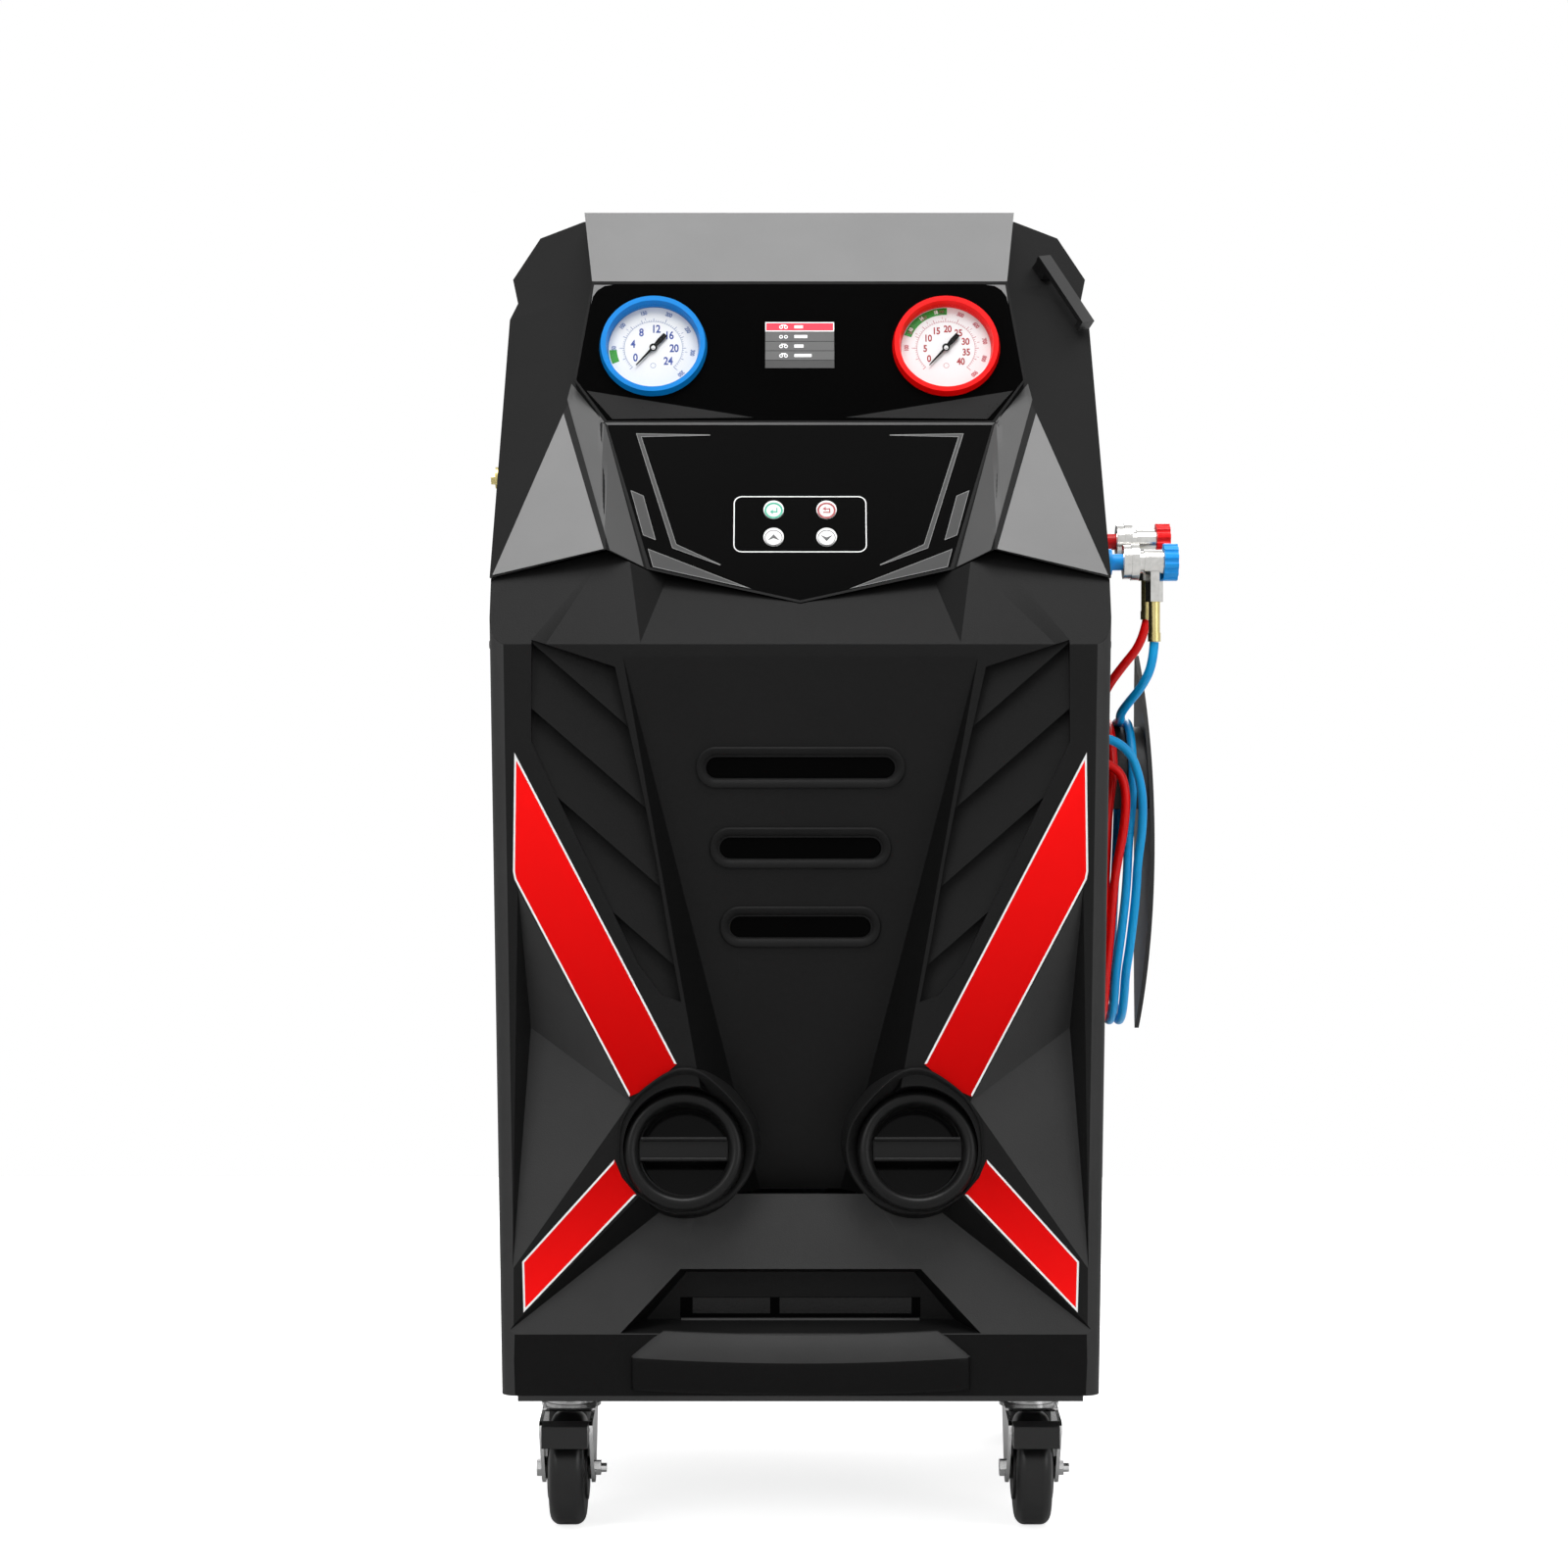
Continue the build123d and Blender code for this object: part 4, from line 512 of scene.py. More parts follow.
# Slot dishes. Each slot is moulded at the bottom of a shallow dish in the cover, of the same
# grained ABS, and the dish's lower edge catches the light.
def plane_on(tree, x, z, lift=0.0, aside=0.0):
    """The flat face under a point of the cabinet's front, as a place to build on. Where the point
    itself is open, the face is felt for a little to the side."""
    spot, normal, _, _ = tree.ray_cast(at(x + aside, before_machine, z), Vector((0, 1, 0)))
    if normal.y > 0:
        normal = -normal
    across = Vector((1, 0, 0))
    up = normal.cross(across).normalized()
    turn = Matrix((across, up, normal)).transposed().to_4x4()
    return Matrix.Translation(spot - across * aside / 1000 + normal * lift / 1000) @ turn


def band(form, loops):
    """A skin from each closed loop of points to the next."""
    rings = []
    for points in loops:
        corners = [form.verts.new(point) for point in points]
        rings.append([form.edges.new(pair) for pair in zip(corners, corners[1:] + corners[:1])])
    for first, second in zip(rings, rings[1:]):
        bmesh.ops.bridge_loops(form, edges=first + second)
    return rings


def rounded(half_width, half_height, radius, steps=5):
    """The corners of a rectangle with round corners."""
    corners = []
    for quarter, (side, top) in enumerate(((1, 1), (-1, 1), (-1, -1), (1, -1))):
        for step in range(steps + 1):
            turn = math.radians(90 * (quarter + step / steps))
            corners.append((side * (half_width - radius) + radius * math.cos(turn),
                            top * (half_height - radius) + radius * math.sin(turn)))
    return corners


def smooth_piece(name, form, body, slot, *materials):
    """An object whose faces shade into one another."""
    for part in form.faces:
        part.smooth = True
    add_piece(name, form, body, slot, *materials)


# Height and half width of each slot, then the dish's section: how far outside the slot's edge,
# and how far over the cover.
slots = ((678.5, 84.0), (607.0, 72.0), (536.5, 63.0))
slot_half_height = 9.5
dish_section = ((0.0, -3.0), (0.0, -0.5), (7.0, 2.6), (8.6, 2.2), (9.6, -1.5))
dish_roundness = 0.97
dish_steps = 8
beside_slot = 12
for count, (height, half_width) in enumerate(slots):
    place = plane_on(cover_skin, 0, height, 0.0, half_width + beside_slot)
    loops = []
    for out, level in dish_section:
        half_height = slot_half_height + out
        corners = rounded(half_width + out, half_height, dish_roundness * half_height, dish_steps)
        loops.append([place @ Vector((u / 1000, v / 1000, level / 1000)) for u, v in corners])
    dish = bmesh.new()
    band(dish, loops)
    smooth_piece(f"slot_dish_{count}", dish, "cabinet", "shell_plastic", grained_abs)

# Bumper lip. A curved roll of the same ABS, moulded along the cover's foot. It sags in the middle and
# falls away towards both ends. Its upper side is given the paler copy as painted light, and the rest the
# darker copy as painted shade.
lip_stations = (0, 25, 50, 75, 100, 120, 129, 138, 146, 149)
lip_half = 149
lip_shoulder = 120
lip_end = 147
lip_top = 186
lip_foot = 132
lip_sag = 5.0
lip_fall = 0.83
lip_back = -283.5
lip_face = -284
# The roll's section, as how far it stands out and its height.
lip_roll = ((9.5, 162), (9.0, 157), (6.0, 136), (4.0, 133))
lip = bmesh.new()
loops = []
for x in [-station for station in lip_stations[:0:-1]] + list(lip_stations):
    near = abs(x)
    sag = lip_sag * (1 - (near / lip_half) ** 2)
    top = lip_top - sag if near <= lip_shoulder else lip_top - lip_fall * (near - lip_shoulder)
    swell = 1.0 if near < lip_end else 0.2
    section = [(lip_back, top), (lip_back - 3.0 * swell, top - 1)]
    section += [(lip_face - reach * swell, height - sag) for reach, height in lip_roll]
    section += [(lip_back, lip_foot - sag)]
    loops.append([at(x, depth, height) for depth, height in section])
ends = band(lip, loops)
for end in (ends[0], ends[-1]):
    bmesh.ops.contextual_create(lip, geom=end)
bmesh.ops.recalc_face_normals(lip, faces=lip.faces)
# Faces turned up get painted light, the others painted shade.
for part in lip.faces:
    part.material_index = int(part.normal.z > 0.2)
smooth_piece("bumper_lip", lip, "cabinet", "shell_plastic", painted_shade_black_abs, painted_light_black_abs)

# Intake mesh. Two panels of fine punched sheet steel sit in a gloss moulded frame, which snaps in behind
# the lip. A thin grey strip along its lower edge is a painted highlight.
# Punched sheet, black enamelled: its 1.6 mm grain stands for the holes and breaks up its gloss.
punched_sheet = surface("punched_black_sheet", "#0d0d0d", "#020202", 0.3, 1.6, 0.25, patch=3, shine=0.2)
# A thin grey line on the moulding's lower edge: a painted highlight.
painted_highlight_grey = surface("moulded_edge_painted_highlight", "#5a5a5a", "#4c4c4c", 0.3, 1.2, 0.01, patch=20)
# The frame, the two panels and the painted highlight on the lower edge, each from corner to corner and
# with its material.
intake_blocks = (
    ((-107.5, -242.3, 187.2), (107.5, -239.2, 210.8), 0),
    ((-96, -243.2, 192.5), (-27, -241, 206.5), 1),
    ((-18.5, -243.2, 192.5), (99, -241, 206.5), 1),
    ((-106, -245.0, 186.6), (106, -242.0, 188.4), 2),
)


def add_block(form, first, second):
    """A block from one corner to the other."""
    block = bmesh.ops.create_cube(form, size=1.0)["verts"]
    bmesh.ops.scale(form, vec=second - first, verts=block)
    bmesh.ops.translate(form, vec=(first + second) / 2, verts=block)


mesh_frame = bmesh.new()
for first, second, shade in intake_blocks:
    before = set(mesh_frame.faces)
    add_block(mesh_frame, at(*first), at(*second))
    for part in set(mesh_frame.faces) - before:
        part.material_index = shade
add_piece("intake_mesh", mesh_frame, "cabinet", "gloss_black", gloss_black, punched_sheet, painted_highlight_grey)

# Oil windows. Each is a moulded ring with a bar across, screwed into a drop-shaped ridge of the
# cover before a smoked acrylic lens, through which the oil bottles are watched.
# Smoked acrylic: glass-smooth, and so dark that little shows behind it.
smoked_acrylic = surface("smoked_acrylic", "#101010", "#0a0a0a", 0.1, 5.0, 0.003, shine=0.08)
dress(satin_black, "window_bezels")
dress(smoked_acrylic, "window_lenses")
window_x = 103.0
window_height = 340.4
ring_middle = 46.0
ring_steps = 72
seat_radius = 53.5
# The section of the rounded rim, as radius and height over its seat.
rim_section = [(39.6, -5.0), (39.6, 1.0), (40.6, 5.5), (43.0, 9.2), (46.0, 10.8), (49.2, 10.2),
               (52.0, 7.4), (53.6, 3.0), (54.0, -9.0)]
# The bar and its two ridges: lower edge, upper edge, half length and height over the seat.
bar_parts = ((-9.5, 11.5, 39.6, 2.2), (8.6, 11.5, 38.4, 5.2), (-9.5, -6.6, 38.4, 5.2))
bar_foot = -5
bar_bevel = 0.0008
# The drop-shaped line of the ridge about the ring's centre, then how it goes down to the cover.
ridge = [(-56.8, 5.8), (-56.0, 21.8), (-51.7, 35.3), (-41.3, 51.2), (-25.7, 64.6), (-11.0, 73.5),
         (1.9, 76.2), (15.7, 72.6), (30.4, 61.0), (45.1, 45.1), (55.5, 30.7), (60.7, 20.1),
         (63.3, 5.8), (62.4, -6.6), (58.1, -20.9), (49.4, -34.2), (37.3, -45.9), (23.5, -53.0),
         (7.1, -56.5), (-11.0, -54.7), (-28.3, -47.6), (-43.0, -36.1), (-52.5, -20.9), (-56.8, -6.6)]
ridge_points = 96
ridge_depth = -284.0
ridge_bevel = 0.0045
foot_depth = -228.0
foot_spread = 1.05
drop_height = 0.97


def flow(corners, count):
    """A closed smooth line through corners, cut into so many points."""
    line = []
    for step in range(count):
        place = step * len(corners) / count
        first = int(place)
        part = place - first
        before, here, there, beyond = (
            Vector(corners[(first + shift) % len(corners)]) for shift in (-1, 0, 1, 2))
        line.append(tuple(here + part * (there - before) / 2
                          + part ** 2 * (2 * before - 5 * here + 4 * there - beyond) / 2
                          + part ** 3 * (3 * here - before - 3 * there + beyond) / 2))
    return line


bezel_skin = skin("window_bezels")
for side, mirror in (("left", -1), ("right", 1)):
    seat = plane_on(bezel_skin, mirror * window_x, window_height, 0.0, ring_middle)
    rim = bmesh.new()
    corners = [rim.verts.new((radius / 1000, 0, height / 1000)) for radius, height in rim_section]
    lines = [rim.edges.new(pair) for pair in zip(corners, corners[1:])]
    bmesh.ops.spin(rim, geom=corners + lines, cent=(0, 0, 0), axis=(0, 0, 1), angle=2 * math.pi,
                   steps=ring_steps, use_merge=True)
    rim.transform(seat)
    smooth_piece(side + "_window_rim", rim, "cabinet", "gloss_black", satin_black)
    bar = bmesh.new()
    for low, high, reach, top in bar_parts:
        add_block(bar, Vector((-reach, low, bar_foot)) / 1000, Vector((reach, high, top)) / 1000)
    bmesh.ops.bevel(bar, geom=bar.edges[:], offset=bar_bevel, segments=2, profile=0.5,
                    affect="EDGES", material=-1)
    bar.transform(seat)
    add_piece(side + "_window_bar", bar, "cabinet", "gloss_black", satin_black)
    # The ridge's skin runs from the ring's seat to its crest, and down to the cover.
    seat_line, crest, foot = [], [], []
    for u, v in flow(ridge, ridge_points):
        inwards = seat_radius / math.hypot(u, v) / 1000
        seat_line.append(seat @ Vector((-mirror * u * inwards, v * inwards, 0)))
        crest.append(at(mirror * (window_x - u), ridge_depth, window_height + v * drop_height))
        foot.append(at(mirror * (window_x - u * foot_spread), foot_depth,
                       window_height + v * foot_spread * drop_height))
    hump = bmesh.new()
    rings = band(hump, (seat_line, crest, foot))
    bmesh.ops.bevel(hump, geom=rings[1], offset=ridge_bevel, segments=4, profile=0.5,
                    affect="EDGES", material=-1)
    smooth_piece(side + "_window_hump", hump, "cabinet", "shell_plastic", grained_abs)

# Hood. A vacuum-formed shell over the cabinet's head in grained black ABS. Its wings and head band,
# which face the lamps, are painted light grey and the rails round the panels mid grey, as painted light.
# Light and mid grey copies of the black ABS, with the same fine texture: painted light.
painted_light_grey = surface("grey_abs_painted_light", "#7c7c7c", "#727272", 0.5, 1.3, 0.05, shine=0.3)
painted_light_mid_grey = surface("mid_grey_painted_light", "#565656", "#4d4d4d", 0.5, 1.3, 0.05, shine=0.2)
dress(grained_abs, "hood")
soften("hood", 2.0)
# The head band's slope takes the light grey as painted light, and the upward edge of the seam under the
# gauge panel the mid grey as a painted highlight. They are told apart by which way a facet faces, and
# the seam by its height.
seam_low = 985
seam_high = 1003
hood_mesh = nodes["hood"].data
hood_mesh.materials.append(painted_light_grey)
hood_mesh.materials.append(painted_light_mid_grey)
for facet in hood_mesh.polygons:
    across, back, up = facet.normal
    height = facet.center.z * 1000
    head = abs(across) < 0.05 and back < -0.6 and up > 0.6
    seam = abs(across) < 0.3 and seam_low < height < seam_high and back < -0.6 and up > 0.3
    facet.material_index = 1 if head else 2 if seam else 0
hood_skin = skin("hood")
# The wing and rail films are painted light laid over the black hood.
wing = [(-218.4, 1006.7), (-176.1, 874.4), (-275.4, 850.8)]
rail = [(-212.4, 1036.5), (-215.6, 1020.4), (-170.6, 873.4), (-141.0, 859.5), (-179.6, 995.5)]
hood_border = 0.8
lay_pair("wing_painted_light", wing, hood_skin, "shell_plastic", (painted_light_grey,), hood_border)
lay_pair("rail_painted_light", rail, hood_skin, "shell_plastic", (painted_light_mid_grey,), hood_border)

# Gauge panel. Gloss black acrylic, back-printed with two dark wedges, behind moulded gauge rings
# in red and blue. The dials are printed white tin, the pointers sprung brass in black paint.
# Stoved white enamel: even and matt, so that no lamp hides a figure.
dial_white = surface("white_dial_enamel", "#f4f5f6", "#eeeff0", 0.4, 1.5, 0.01, patch=30)
# Window glass: clear but for a faint darkening and a sharp reflection.
clear_glass = surface("clear_gauge_glass", "#0c0c0c", "#080808", 0.05, 6.0, 0.0005, spread=0.01,
                      Alpha=0.035)
# Matt black paint on thin brass.
pointer_black = surface("black_pointer_paint", "#080808", "#050505", 0.4, 1.0, 0.01, patch=10,
                        shine=0.1)
# Moulded ABS rings: strong colours with a low sheen.
ring_blue = surface("blue_ring_plastic", "#0786da", "#057dce", 0.35, 1.2, 0.02, patch=30, shine=0.15)
ring_red = surface("red_ring_plastic", "#ff0a0a", "#f40606", 0.35, 1.2, 0.02, patch=30, shine=0.15)
dress(gloss_black, "gauge_panel", "keypad_panel", "display_screen")
dress(dial_white, "gauge_dials")
dress(clear_glass, "gauge_lenses")
dress(pointer_black, "low_gauge_pointer", "high_gauge_pointer")
dress(ring_blue, "low_gauge_bezel")
dress(ring_red, "high_gauge_bezel")
# A print's own height, and how far it lies over its plate.
film = 0.08
print_lift = 0.05


def raise_print(form, before, height, material):
    """Gives the flat faces made since before their height and their ink."""
    flat = list(set(form.faces) - before)
    top = bmesh.ops.extrude_face_region(form, geom=flat, use_keep_orig=True)["geom"]
    bmesh.ops.translate(form, verts=[part for part in top if isinstance(part, bmesh.types.BMVert)],
                        vec=(0, 0, height / 1000))
    for part in set(form.faces) - before:
        part.material_index = material


def add_flat(form, corners, material=0, level=0.0, height=film):
    """A thin flat shape with its corners in millimetres."""
    before = set(form.faces)
    form.faces.new([form.verts.new((u / 1000, v / 1000, level / 1000)) for u, v in corners])
    raise_print(form, before, height, material)


def add_arc(form, centre, inner, outer, first, last, material=0, level=0.0, height=film, steps=48):
    """A thin ring or part of one, from one angle to another in degrees."""
    before = set(form.faces)
    turn = math.radians(first)
    ends = [form.verts.new(((centre[0] + radius * math.cos(turn)) / 1000,
                            (centre[1] + radius * math.sin(turn)) / 1000, level / 1000))
            for radius in (inner, outer)]
    edge = form.edges.new(ends)
    bmesh.ops.spin(form, geom=ends + [edge], cent=(centre[0] / 1000, centre[1] / 1000, 0),
                   axis=(0, 0, 1), angle=math.radians(last - first), steps=steps,
                   use_merge=abs(last - first) >= 360)
    raise_print(form, before, height, material)


def add_outline(form, corners, width, material=0, level=0.0):
    """A closed printed line inside a shape's edge."""
    before = set(form.faces)
    face = form.faces.new([form.verts.new((u / 1000, v / 1000, level / 1000)) for u, v in corners])
    form.normal_update()
    bmesh.ops.inset_region(form, faces=[face], thickness=width / 1000, use_even_offset=True,
                           use_boundary=True)
    bmesh.ops.delete(form, geom=[face], context="FACES_ONLY")
    raise_print(form, before, film, material)


figure_width = 0.8
figure_weight = 0.00028
figure_spacing = 0.95


def add_number(form, figures, size, u, v, turn=0.0, material=0, level=0.0):
    """Printed figures, centred on a point."""
    line = bpy.data.curves.new("figures", "FONT")
    line.body = figures
    line.size = size / 1000
    line.align_x = "CENTER"
    line.align_y = "CENTER"
    line.extrude = film / 2000
    line.resolution_u = 3
    line.offset = figure_weight
    line.space_character = figure_spacing
    text = bpy.data.objects.new("figures", line)
    mesh = bpy.data.meshes.new_from_object(text)
    mesh.transform(Matrix.Translation((u / 1000, v / 1000, level / 1000))
                   @ Matrix.Rotation(turn, 4, "Z") @ Matrix.Diagonal((figure_width, 1.0, 1.0, 1.0)))
    before = set(form.faces)
    form.from_mesh(mesh)
    for part in set(form.faces) - before:
        part.material_index = material
    bpy.data.objects.remove(text)
    bpy.data.meshes.remove(mesh)
    bpy.data.curves.remove(line)


def around(radius, turn):
    """A point of a dial, at an angle."""
    return radius * math.cos(turn), radius * math.sin(turn)


def add_tick(form, turn, inner, outer, half):
    """A line of a dial's scale, along its radius."""
    aside = (-math.sin(turn) * half, math.cos(turn) * half)
    along = (math.cos(turn), math.sin(turn))
    add_flat(form, [(along[0] * radius + aside[0] * sign, along[1] * radius + aside[1] * sign)
                    for radius, sign in ((inner, -1), (outer, -1), (outer, 1), (inner, 1))], 1)


gauge_x = 136.0
gauge_height = 1069.1
dial_radius = 42.0
# Both scales, by angles in degrees from the dial's right.
scale_start = 225.0
scale_sweep = 270.0
scale_parts = 60
outer_start = 180.0
outer_sweep = 225.0
# Where the figures, the scales' lines and the green zone lie on the radius.
figure_ring = 0.46 * dial_radius
inner_scale = 0.64 * dial_radius
outer_scale = 0.76 * dial_radius
zone_inside = 0.81 * dial_radius
outer_ring = 0.87 * dial_radius
zone_ring = 0.89 * dial_radius
zone_outside = 0.975 * dial_radius
sign_below = -0.42 * dial_radius
outer_size = 5.4
zone_size = 4.8
# Beside the pointer's bore, where the dial and the pointer are felt for.
beside_shaft = 12.0
beside_pin = 2.2
hub_lift = 0.02


def ink(name, light, dark, roughness=0.4, grain=1.5):
    """Screen-printed ink: a flat, even colour."""
    return surface(name, light, dark, roughness, grain, 0.005, patch=10)


green_ink = ink("green_dial_ink", "#0a9a12", "#088a10")
low_ink = ink("blue_dial_ink", "#12409c", "#0f388e")
low_faint = ink("pale_blue_dial_ink", "#7d8fb8", "#7386b0")
high_ink = ink("red_dial_ink", "#a81420", "#9c101b")
high_faint = ink("pale_red_dial_ink", "#c67880", "#be6d75")
white_ink = ink("white_print_ink", "#f4f4f4", "#ececec")
dial_skin = skin("gauge_dials")
# Each gauge's side and inks; its figures, their size, first angle and step; the green zone's
# two angles; the outer scale's figures; and the angles and figures on the green zone.
dials = (
    ("low", -1, low_ink, low_faint, range(0, 25, 4), 11.0, 211.0, 42.5, 183.0, 203.0,
     range(50, 351, 50), ()),
    ("high", 1, high_ink, high_faint, range(0, 41, 5), 9.6, 214.5, 32.5, 88.0, 161.0,
     range(100, 901, 100), ((150, "10"), (127, "14"), (104, "18"))),
)
for (name, side, strong, faint, figures, figure_size, first, step, green_from, green_to,
     outer_figures, zone_figures) in dials:
    face = bmesh.new()
    for count, figure in enumerate(figures):
        turn = math.radians(first - step * count)
        add_number(face, str(figure), figure_size, *around(figure_ring, turn))
    add_arc(face, (0, 0), inner_scale, inner_scale + 0.35, scale_start, scale_start - scale_sweep, 1)
    for tick in range(scale_parts + 1):
        turn = math.radians(scale_start - scale_sweep / scale_parts * tick)
        length, half = (3.6, 0.3) if tick % 5 == 0 else (1.8, 0.2)
        add_tick(face, turn, inner_scale, inner_scale + length, half)
    for count, figure in enumerate(outer_figures):
        turn = math.radians(outer_start - outer_sweep * count / (len(outer_figures) - 1))
        add_number(face, str(figure), outer_size, *around(outer_ring, turn), turn - math.pi / 2, 1, film)
        add_tick(face, turn, outer_scale - 2.4, outer_scale, 0.2)
    add_arc(face, (0, 0), zone_inside, zone_outside, green_from, green_to, 2, film * 0.5, film, 16)
    for angle, figure in zone_figures:
        turn = math.radians(angle)
        add_number(face, figure, zone_size, *around(zone_ring, turn), turn - math.pi / 2, 3, film * 2)
    add_arc(face, (0, sign_below), 2.2, 2.6, 0, 360, 1, 0, film, 24)
    hub = bmesh.new()
    add_arc(hub, (0, 0), 1.3, 2.0, 0, 360, 0, 0, 0.4, 28)
    hub.transform(plane_on(skin(name + "_gauge_pointer"), side * gauge_x, gauge_height, hub_lift,
                           beside_pin))
    add_piece(name + "_pointer_hub", hub, name + "_pointer_body", "dial_white", white_ink)
    face.transform(plane_on(dial_skin, side * gauge_x, gauge_height, print_lift, beside_shaft))
    add_piece(name + "_dial_print", face, "cabinet", "dial_white", strong, faint, green_ink, white_ink)

# Screen. A small liquid crystal display behind the gauge panel shows five bars, the top one lit
# red. Each of the upper four has a plain sign and a short white bar.
def crystal(name, light, dark, **glow):
    """Liquid crystal: a flat colour with a faint glow of its own, and dark where it is off."""
    return surface(name, light, dark, 0.5, 2.0, 0.001, patch=30, **glow)


screen_grey = crystal("screen_grey", "#4e4e4e", "#484848", Emission_Strength=0.15,
                      Emission_Color=colour("#5f5f5f"))
screen_red = crystal("screen_red", "#e5203e", "#d41c38", Emission_Strength=0.35,
                     Emission_Color=colour("#e5203e"))
screen_white = crystal("screen_white", "#f4f4f4", "#ececec", Emission_Strength=0.4,
                       Emission_Color=colour("#f4f4f4"))
screen_dark = crystal("screen_dark", "#2b2b2b", "#242424")
screen_middle = 1071.6
half_width = 32.0
half_height = 23.3
# Each bar's top and bottom, as parts of the screen's height, its material, and the length of
# the white bar on it.
rows = ((0.0, 0.205, 1, 8.0), (0.215, 0.415, 0, 12.0), (0.425, 0.62, 0, 8.5), (0.63, 0.825, 0, 16.0),
        (0.835, 1.0, 3, 0.0))
chosen_line = 0.9
white_bar_left = -5
white_bar_half = 1.5
sign_wheels = (-17.3, -12.8)


def oblong(left, low, right, high):
    """The corners of an upright rectangle."""
    return [(left, low), (right, low), (right, high), (left, high)]


display = bmesh.new()
for top, bottom, shade, _ in rows:
    add_flat(display, oblong(-half_width, half_height * (1 - 2 * bottom), half_width,
                             half_height * (1 - 2 * top)), shade)
add_outline(display, oblong(-half_width, half_height * (1 - 2 * rows[0][1]), half_width, half_height),
            chosen_line, 2, film)
for row, (top, bottom, _, length) in enumerate(rows[:4]):
    middle = half_height * (1 - top - bottom)
    add_flat(display, oblong(white_bar_left, middle - white_bar_half, white_bar_left + length,
                             middle + white_bar_half), 2, film)
    for wheel in sign_wheels:
        add_arc(display, (wheel, middle - 0.3), 1.0, 1.8, 0, 360, 2, film, film, 20)
    if row != 1:
        add_flat(display, [(-17.3, middle + 1.2), (-12.0, middle + 1.2), (-13.0, middle + 2.3),
                           (-17.3, middle + 2.3)], 2, film)
display.transform(plane_on(skin("display_screen"), 0, screen_middle, print_lift))
add_piece("screen_picture", display, "cabinet", "gloss_black", screen_grey, screen_red, screen_white,
          screen_dark)

# Panel corners and wedges. The head band's painted light grey turns round the gauge panel's top corners
# in a small radius. Below the dials, two plain dark wedges are printed on the acrylic's back.
# Dark grey ink behind acrylic: a little lighter than the black beside it.
wedge_grey = surface("dark_grey_panel_ink", "#262626", "#202020", 0.3, 2.0, 0.003, patch=60, shine=0.1)
gauge_skin = skin("gauge_panel")
corner_web = [(-174.5, 1130.4), (-192.4, 1130.4), (-194.4, 1111.0), (-193.0, 1118.7), (-188.6, 1125.1),
              (-182.2, 1129.3)]
corner_border = 0.3
wedge = [(-197.0, 1027.5), (-172.8, 1000.4), (-42.6, 1001.8)]
wedge_border = 0.6
# The corner film is painted light, the head band's light grey carried round the corner.
lay_pair("corner_painted_light", corner_web, gauge_skin, "shell_plastic", (painted_light_grey,), corner_border)
lay_pair("panel_wedge", wedge, gauge_skin, "gloss_black", (wedge_grey,), wedge_border)

# Keypad. Gloss black film over a moulded bezel, printed with fine grey lines and a white frame
# round four round keys, whose caps are white with printed signs.
# Screen-printed inks: flat greys for the lines, and flat colours for the keys' signs.
key_grey = surface("grey_keypad_ink", "#4c4c4c", "#454545", 0.4, 2.0, 0.003, patch=60, shine=0.1)
key_edge = surface("pale_grey_keypad_ink", "#777777", "#6e6e6e", 0.4, 2.0, 0.003, patch=60)
teal_ink = ink("teal_key_ink", "#1fae8c", "#1aa382", 0.35, 1.0)
dark_red_ink = ink("dark_red_key_ink", "#a01c24", "#94181f", 0.35, 1.0)
sign_grey = ink("dark_grey_key_ink", "#3c3c3c", "#343434", 0.35, 1.0)
# Moulded white caps with a slight gloss.
key_white = surface("white_key_plastic", "#f2f2f2", "#e9e9e9", 0.3, 1.0, 0.01, patch=10)
dress(key_white, "start_button", "back_button", "up_button", "down_button")
keypad_skin = skin("keypad_panel")
keypad_lines = (
    [(-150.6, 986.4), (-82.6, 985.2), (-82.6, 984.4), (-145.6, 983.0), (-111.9, 880.8), (-72.0, 862.0),
     (-72.0, 861.0), (-115.6, 877.2)],
    [(-154.4, 931.8), (-142.6, 926.6), (-130.6, 884.6), (-142.2, 889.4)],
    [(-137.6, 876.6), (-44.4, 839.4), (-132.8, 859.6)],
)
keypad_border = 0.5
for count, outline in enumerate(keypad_lines):
    lay_pair(f"keypad_line_{count}", outline, keypad_skin, "gloss_black", (key_grey, key_edge),
             keypad_border)
frame_middle = 899.7
frame_outline = rounded(60.4, 29.2, 7.5)
frame_line = 1.0
frame_print = bmesh.new()
add_outline(frame_print, frame_outline, frame_line)
frame_print.transform(plane_on(keypad_skin, 0, frame_middle, print_lift))
add_piece("keypad_frame_print", frame_print, "cabinet", "button_white", white_ink)
# Each key's ink, the radii of the ring printed on it, and the corners of its sign.
key_signs = {
    "start": (teal_ink, 6.5, 8.4, [
        (-3.6, -1.4), (-0.6, 1.0), (-0.6, -0.6), (2.4, -0.6), (2.4, 2.8), (3.6, 2.8), (3.6, -2.2),
        (-0.6, -2.2), (-0.6, -3.8)]),
    "back": (dark_red_ink, 6.5, 8.4, [
        (3.6, 2.4), (3.6, -2.6), (-3.0, -2.6), (-3.0, -1.3), (2.3, -1.3), (2.3, 1.1), (-0.6, 1.1),
        (-0.6, -0.4), (-3.8, 1.8), (-0.6, 4.0), (-0.6, 2.4)]),
    "up": (sign_grey, 7.4, 8.0, [(-5.4, -2.8), (0.0, 3.6), (5.4, -2.8), (0.0, -0.4)]),
    "down": (sign_grey, 7.4, 8.0, [(-5.4, 2.8), (0.0, 0.4), (5.4, 2.8), (0.0, -3.6)]),
}
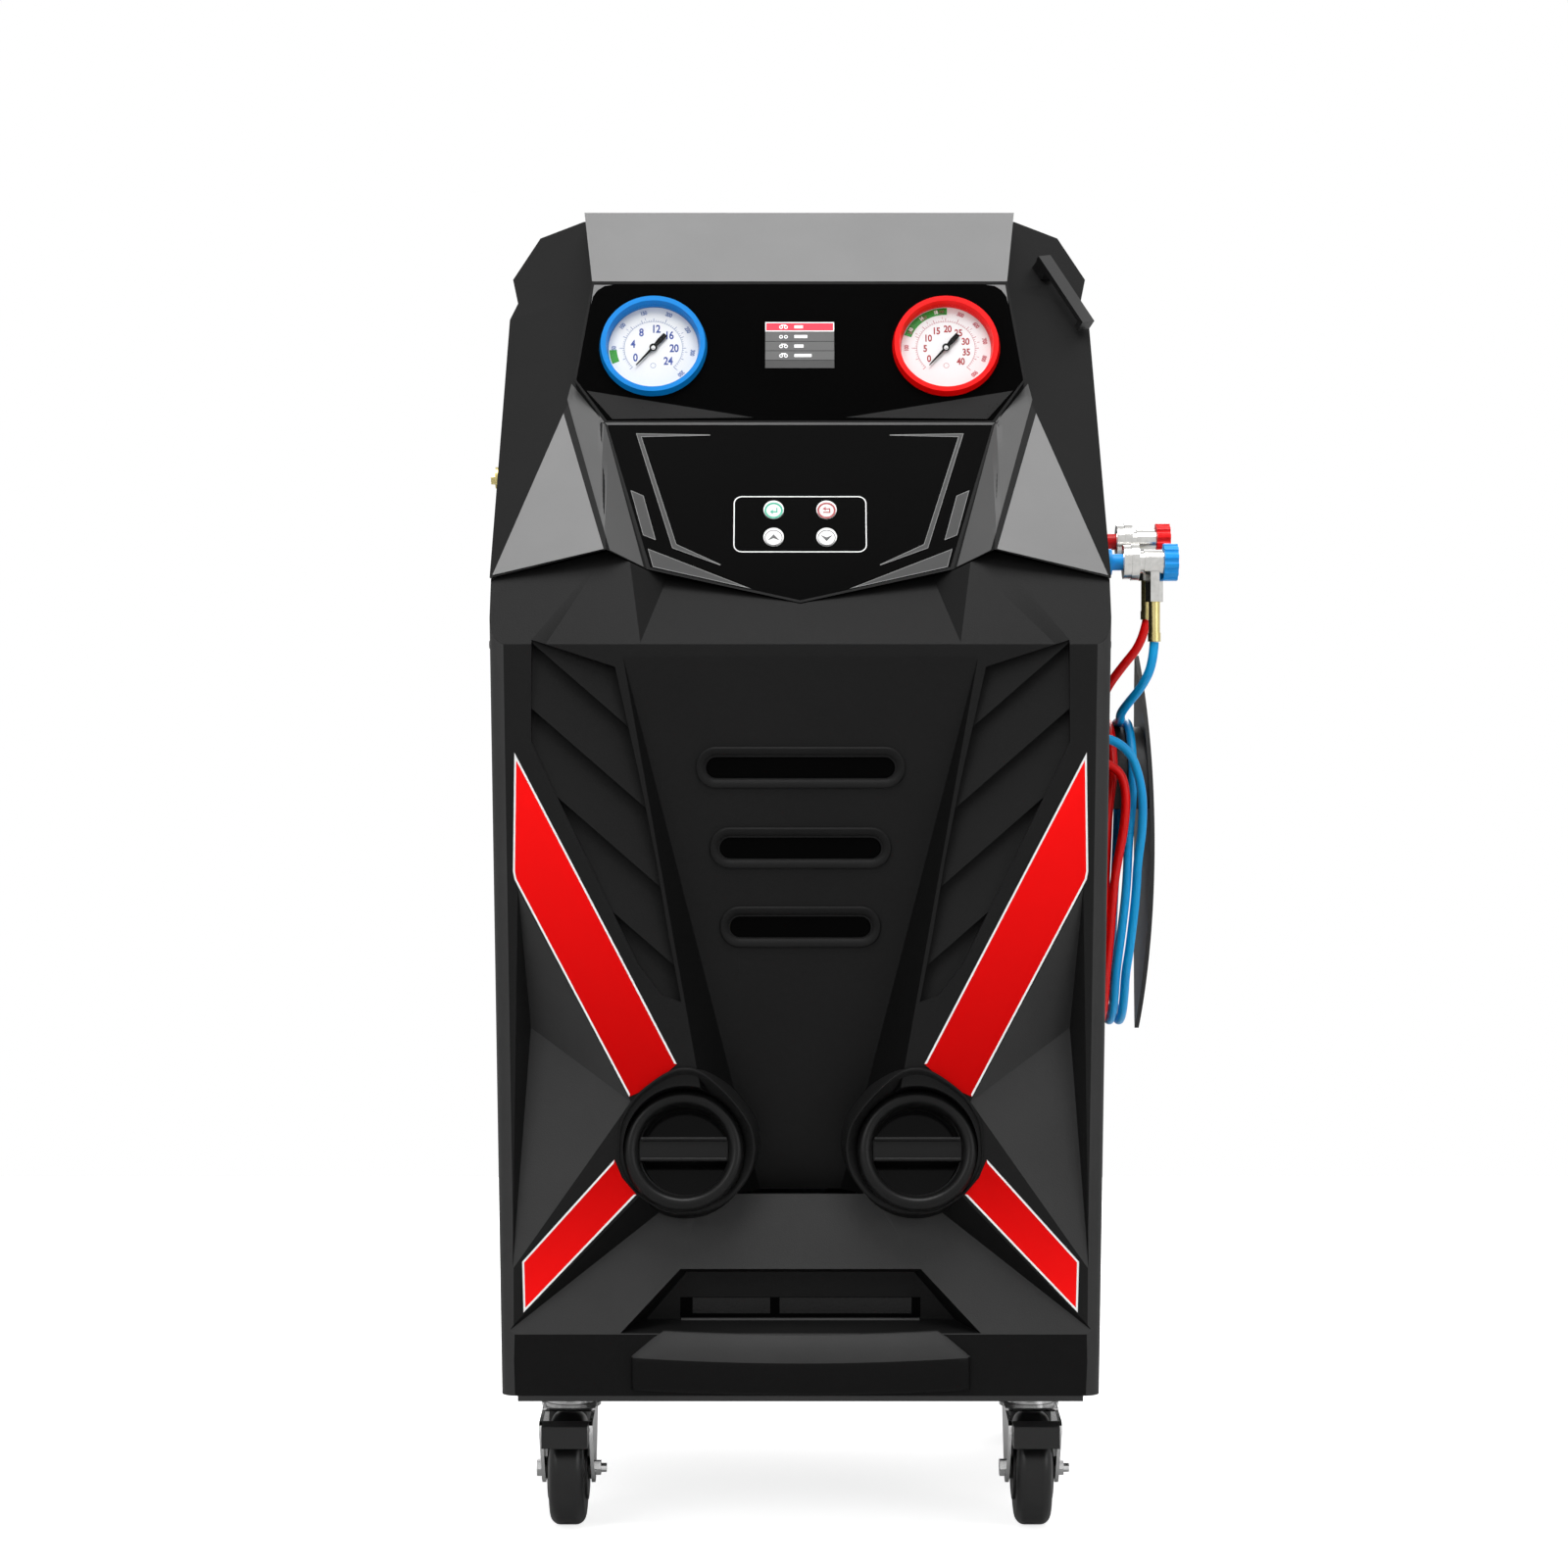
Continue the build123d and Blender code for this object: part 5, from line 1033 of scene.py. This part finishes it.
for key, (sign_ink, inner, outer, corners) in key_signs.items():
    low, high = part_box(key + "_button")
    middle = (low + high) / 2
    sign = bmesh.new()
    add_flat(sign, corners)
    add_arc(sign, (0, 0), inner, outer, 0, 360, 0, 0, film, 40)
    sign.transform(plane_on(skin(key + "_button"), (middle.x - cabinet_x) * 1000, middle.z * 1000,
                            print_lift))
    add_piece(key + "_key_sign", sign, key + "_button_body", "button_white", sign_ink)

# Hanger, hook and push handle. The hanger and the handle are bent steel in powder coat. The hook
# for the thermometer's probe is a black moulding on the right shoulder.
# Powder coat on bent bar: dark grey, a shade over the cabinet's.
hanger_coat = surface("dark_grey_powder_coat", "#303030", "#272727", 0.42, 1.4, 0.04, shine=0.25)
dress(hanger_coat, "hose_hanger")
dress(black_nylon, "probe_hook")
dress(black_coat, "push_handle")

# Inside parts. A painted steel tank stands on an aluminium scale, beside the compressor and the
# vacuum pump in black paint, the finned condenser, the brass valve block, the circuit board and
# the clear moulded oil bottles. All are bolted to the base or the uprights.
# Sprayed enamel: blue-grey, smooth, with a soft shine.
tank_paint = surface("blue_grey_tank_paint", "#8fa3b0", "#8296a3", 0.35, 1.5, 0.03)
# Cast aluminium: pale grey metal with a blurred shine.
aluminium = surface("cast_aluminium", "#b5b8ba", "#9fa2a4", 0.35, 0.9, 0.03, metallic=1.0, patch=12)
# Machine paint over castings: black with the same shine.
machine_paint = surface("black_machine_paint", "#242424", "#1a1a1a", 0.35, 1.2, 0.03)
# Blown polyethylene: clear with a warm cast, so that the oil's level shows.
bottle_plastic = surface("clear_bottle_plastic", "#f6f4e8", "#f0ecd8", 0.12, 3.0, 0.01,
                         Transmission_Weight=0.9)
# Solder-masked board: a flat deep green.
board_green = surface("green_circuit_board", "#1c6b3a", "#175c31", 0.4, 2.0, 0.02, patch=10)
dress(tank_paint, "storage_tank")
dress(aluminium, "tank_scale", "condenser")
dress(machine_paint, "compressor", "vacuum_pump")
dress(brass, "valve_manifold")
dress(bottle_plastic, "oil_bottles")
dress(board_green, "control_board")
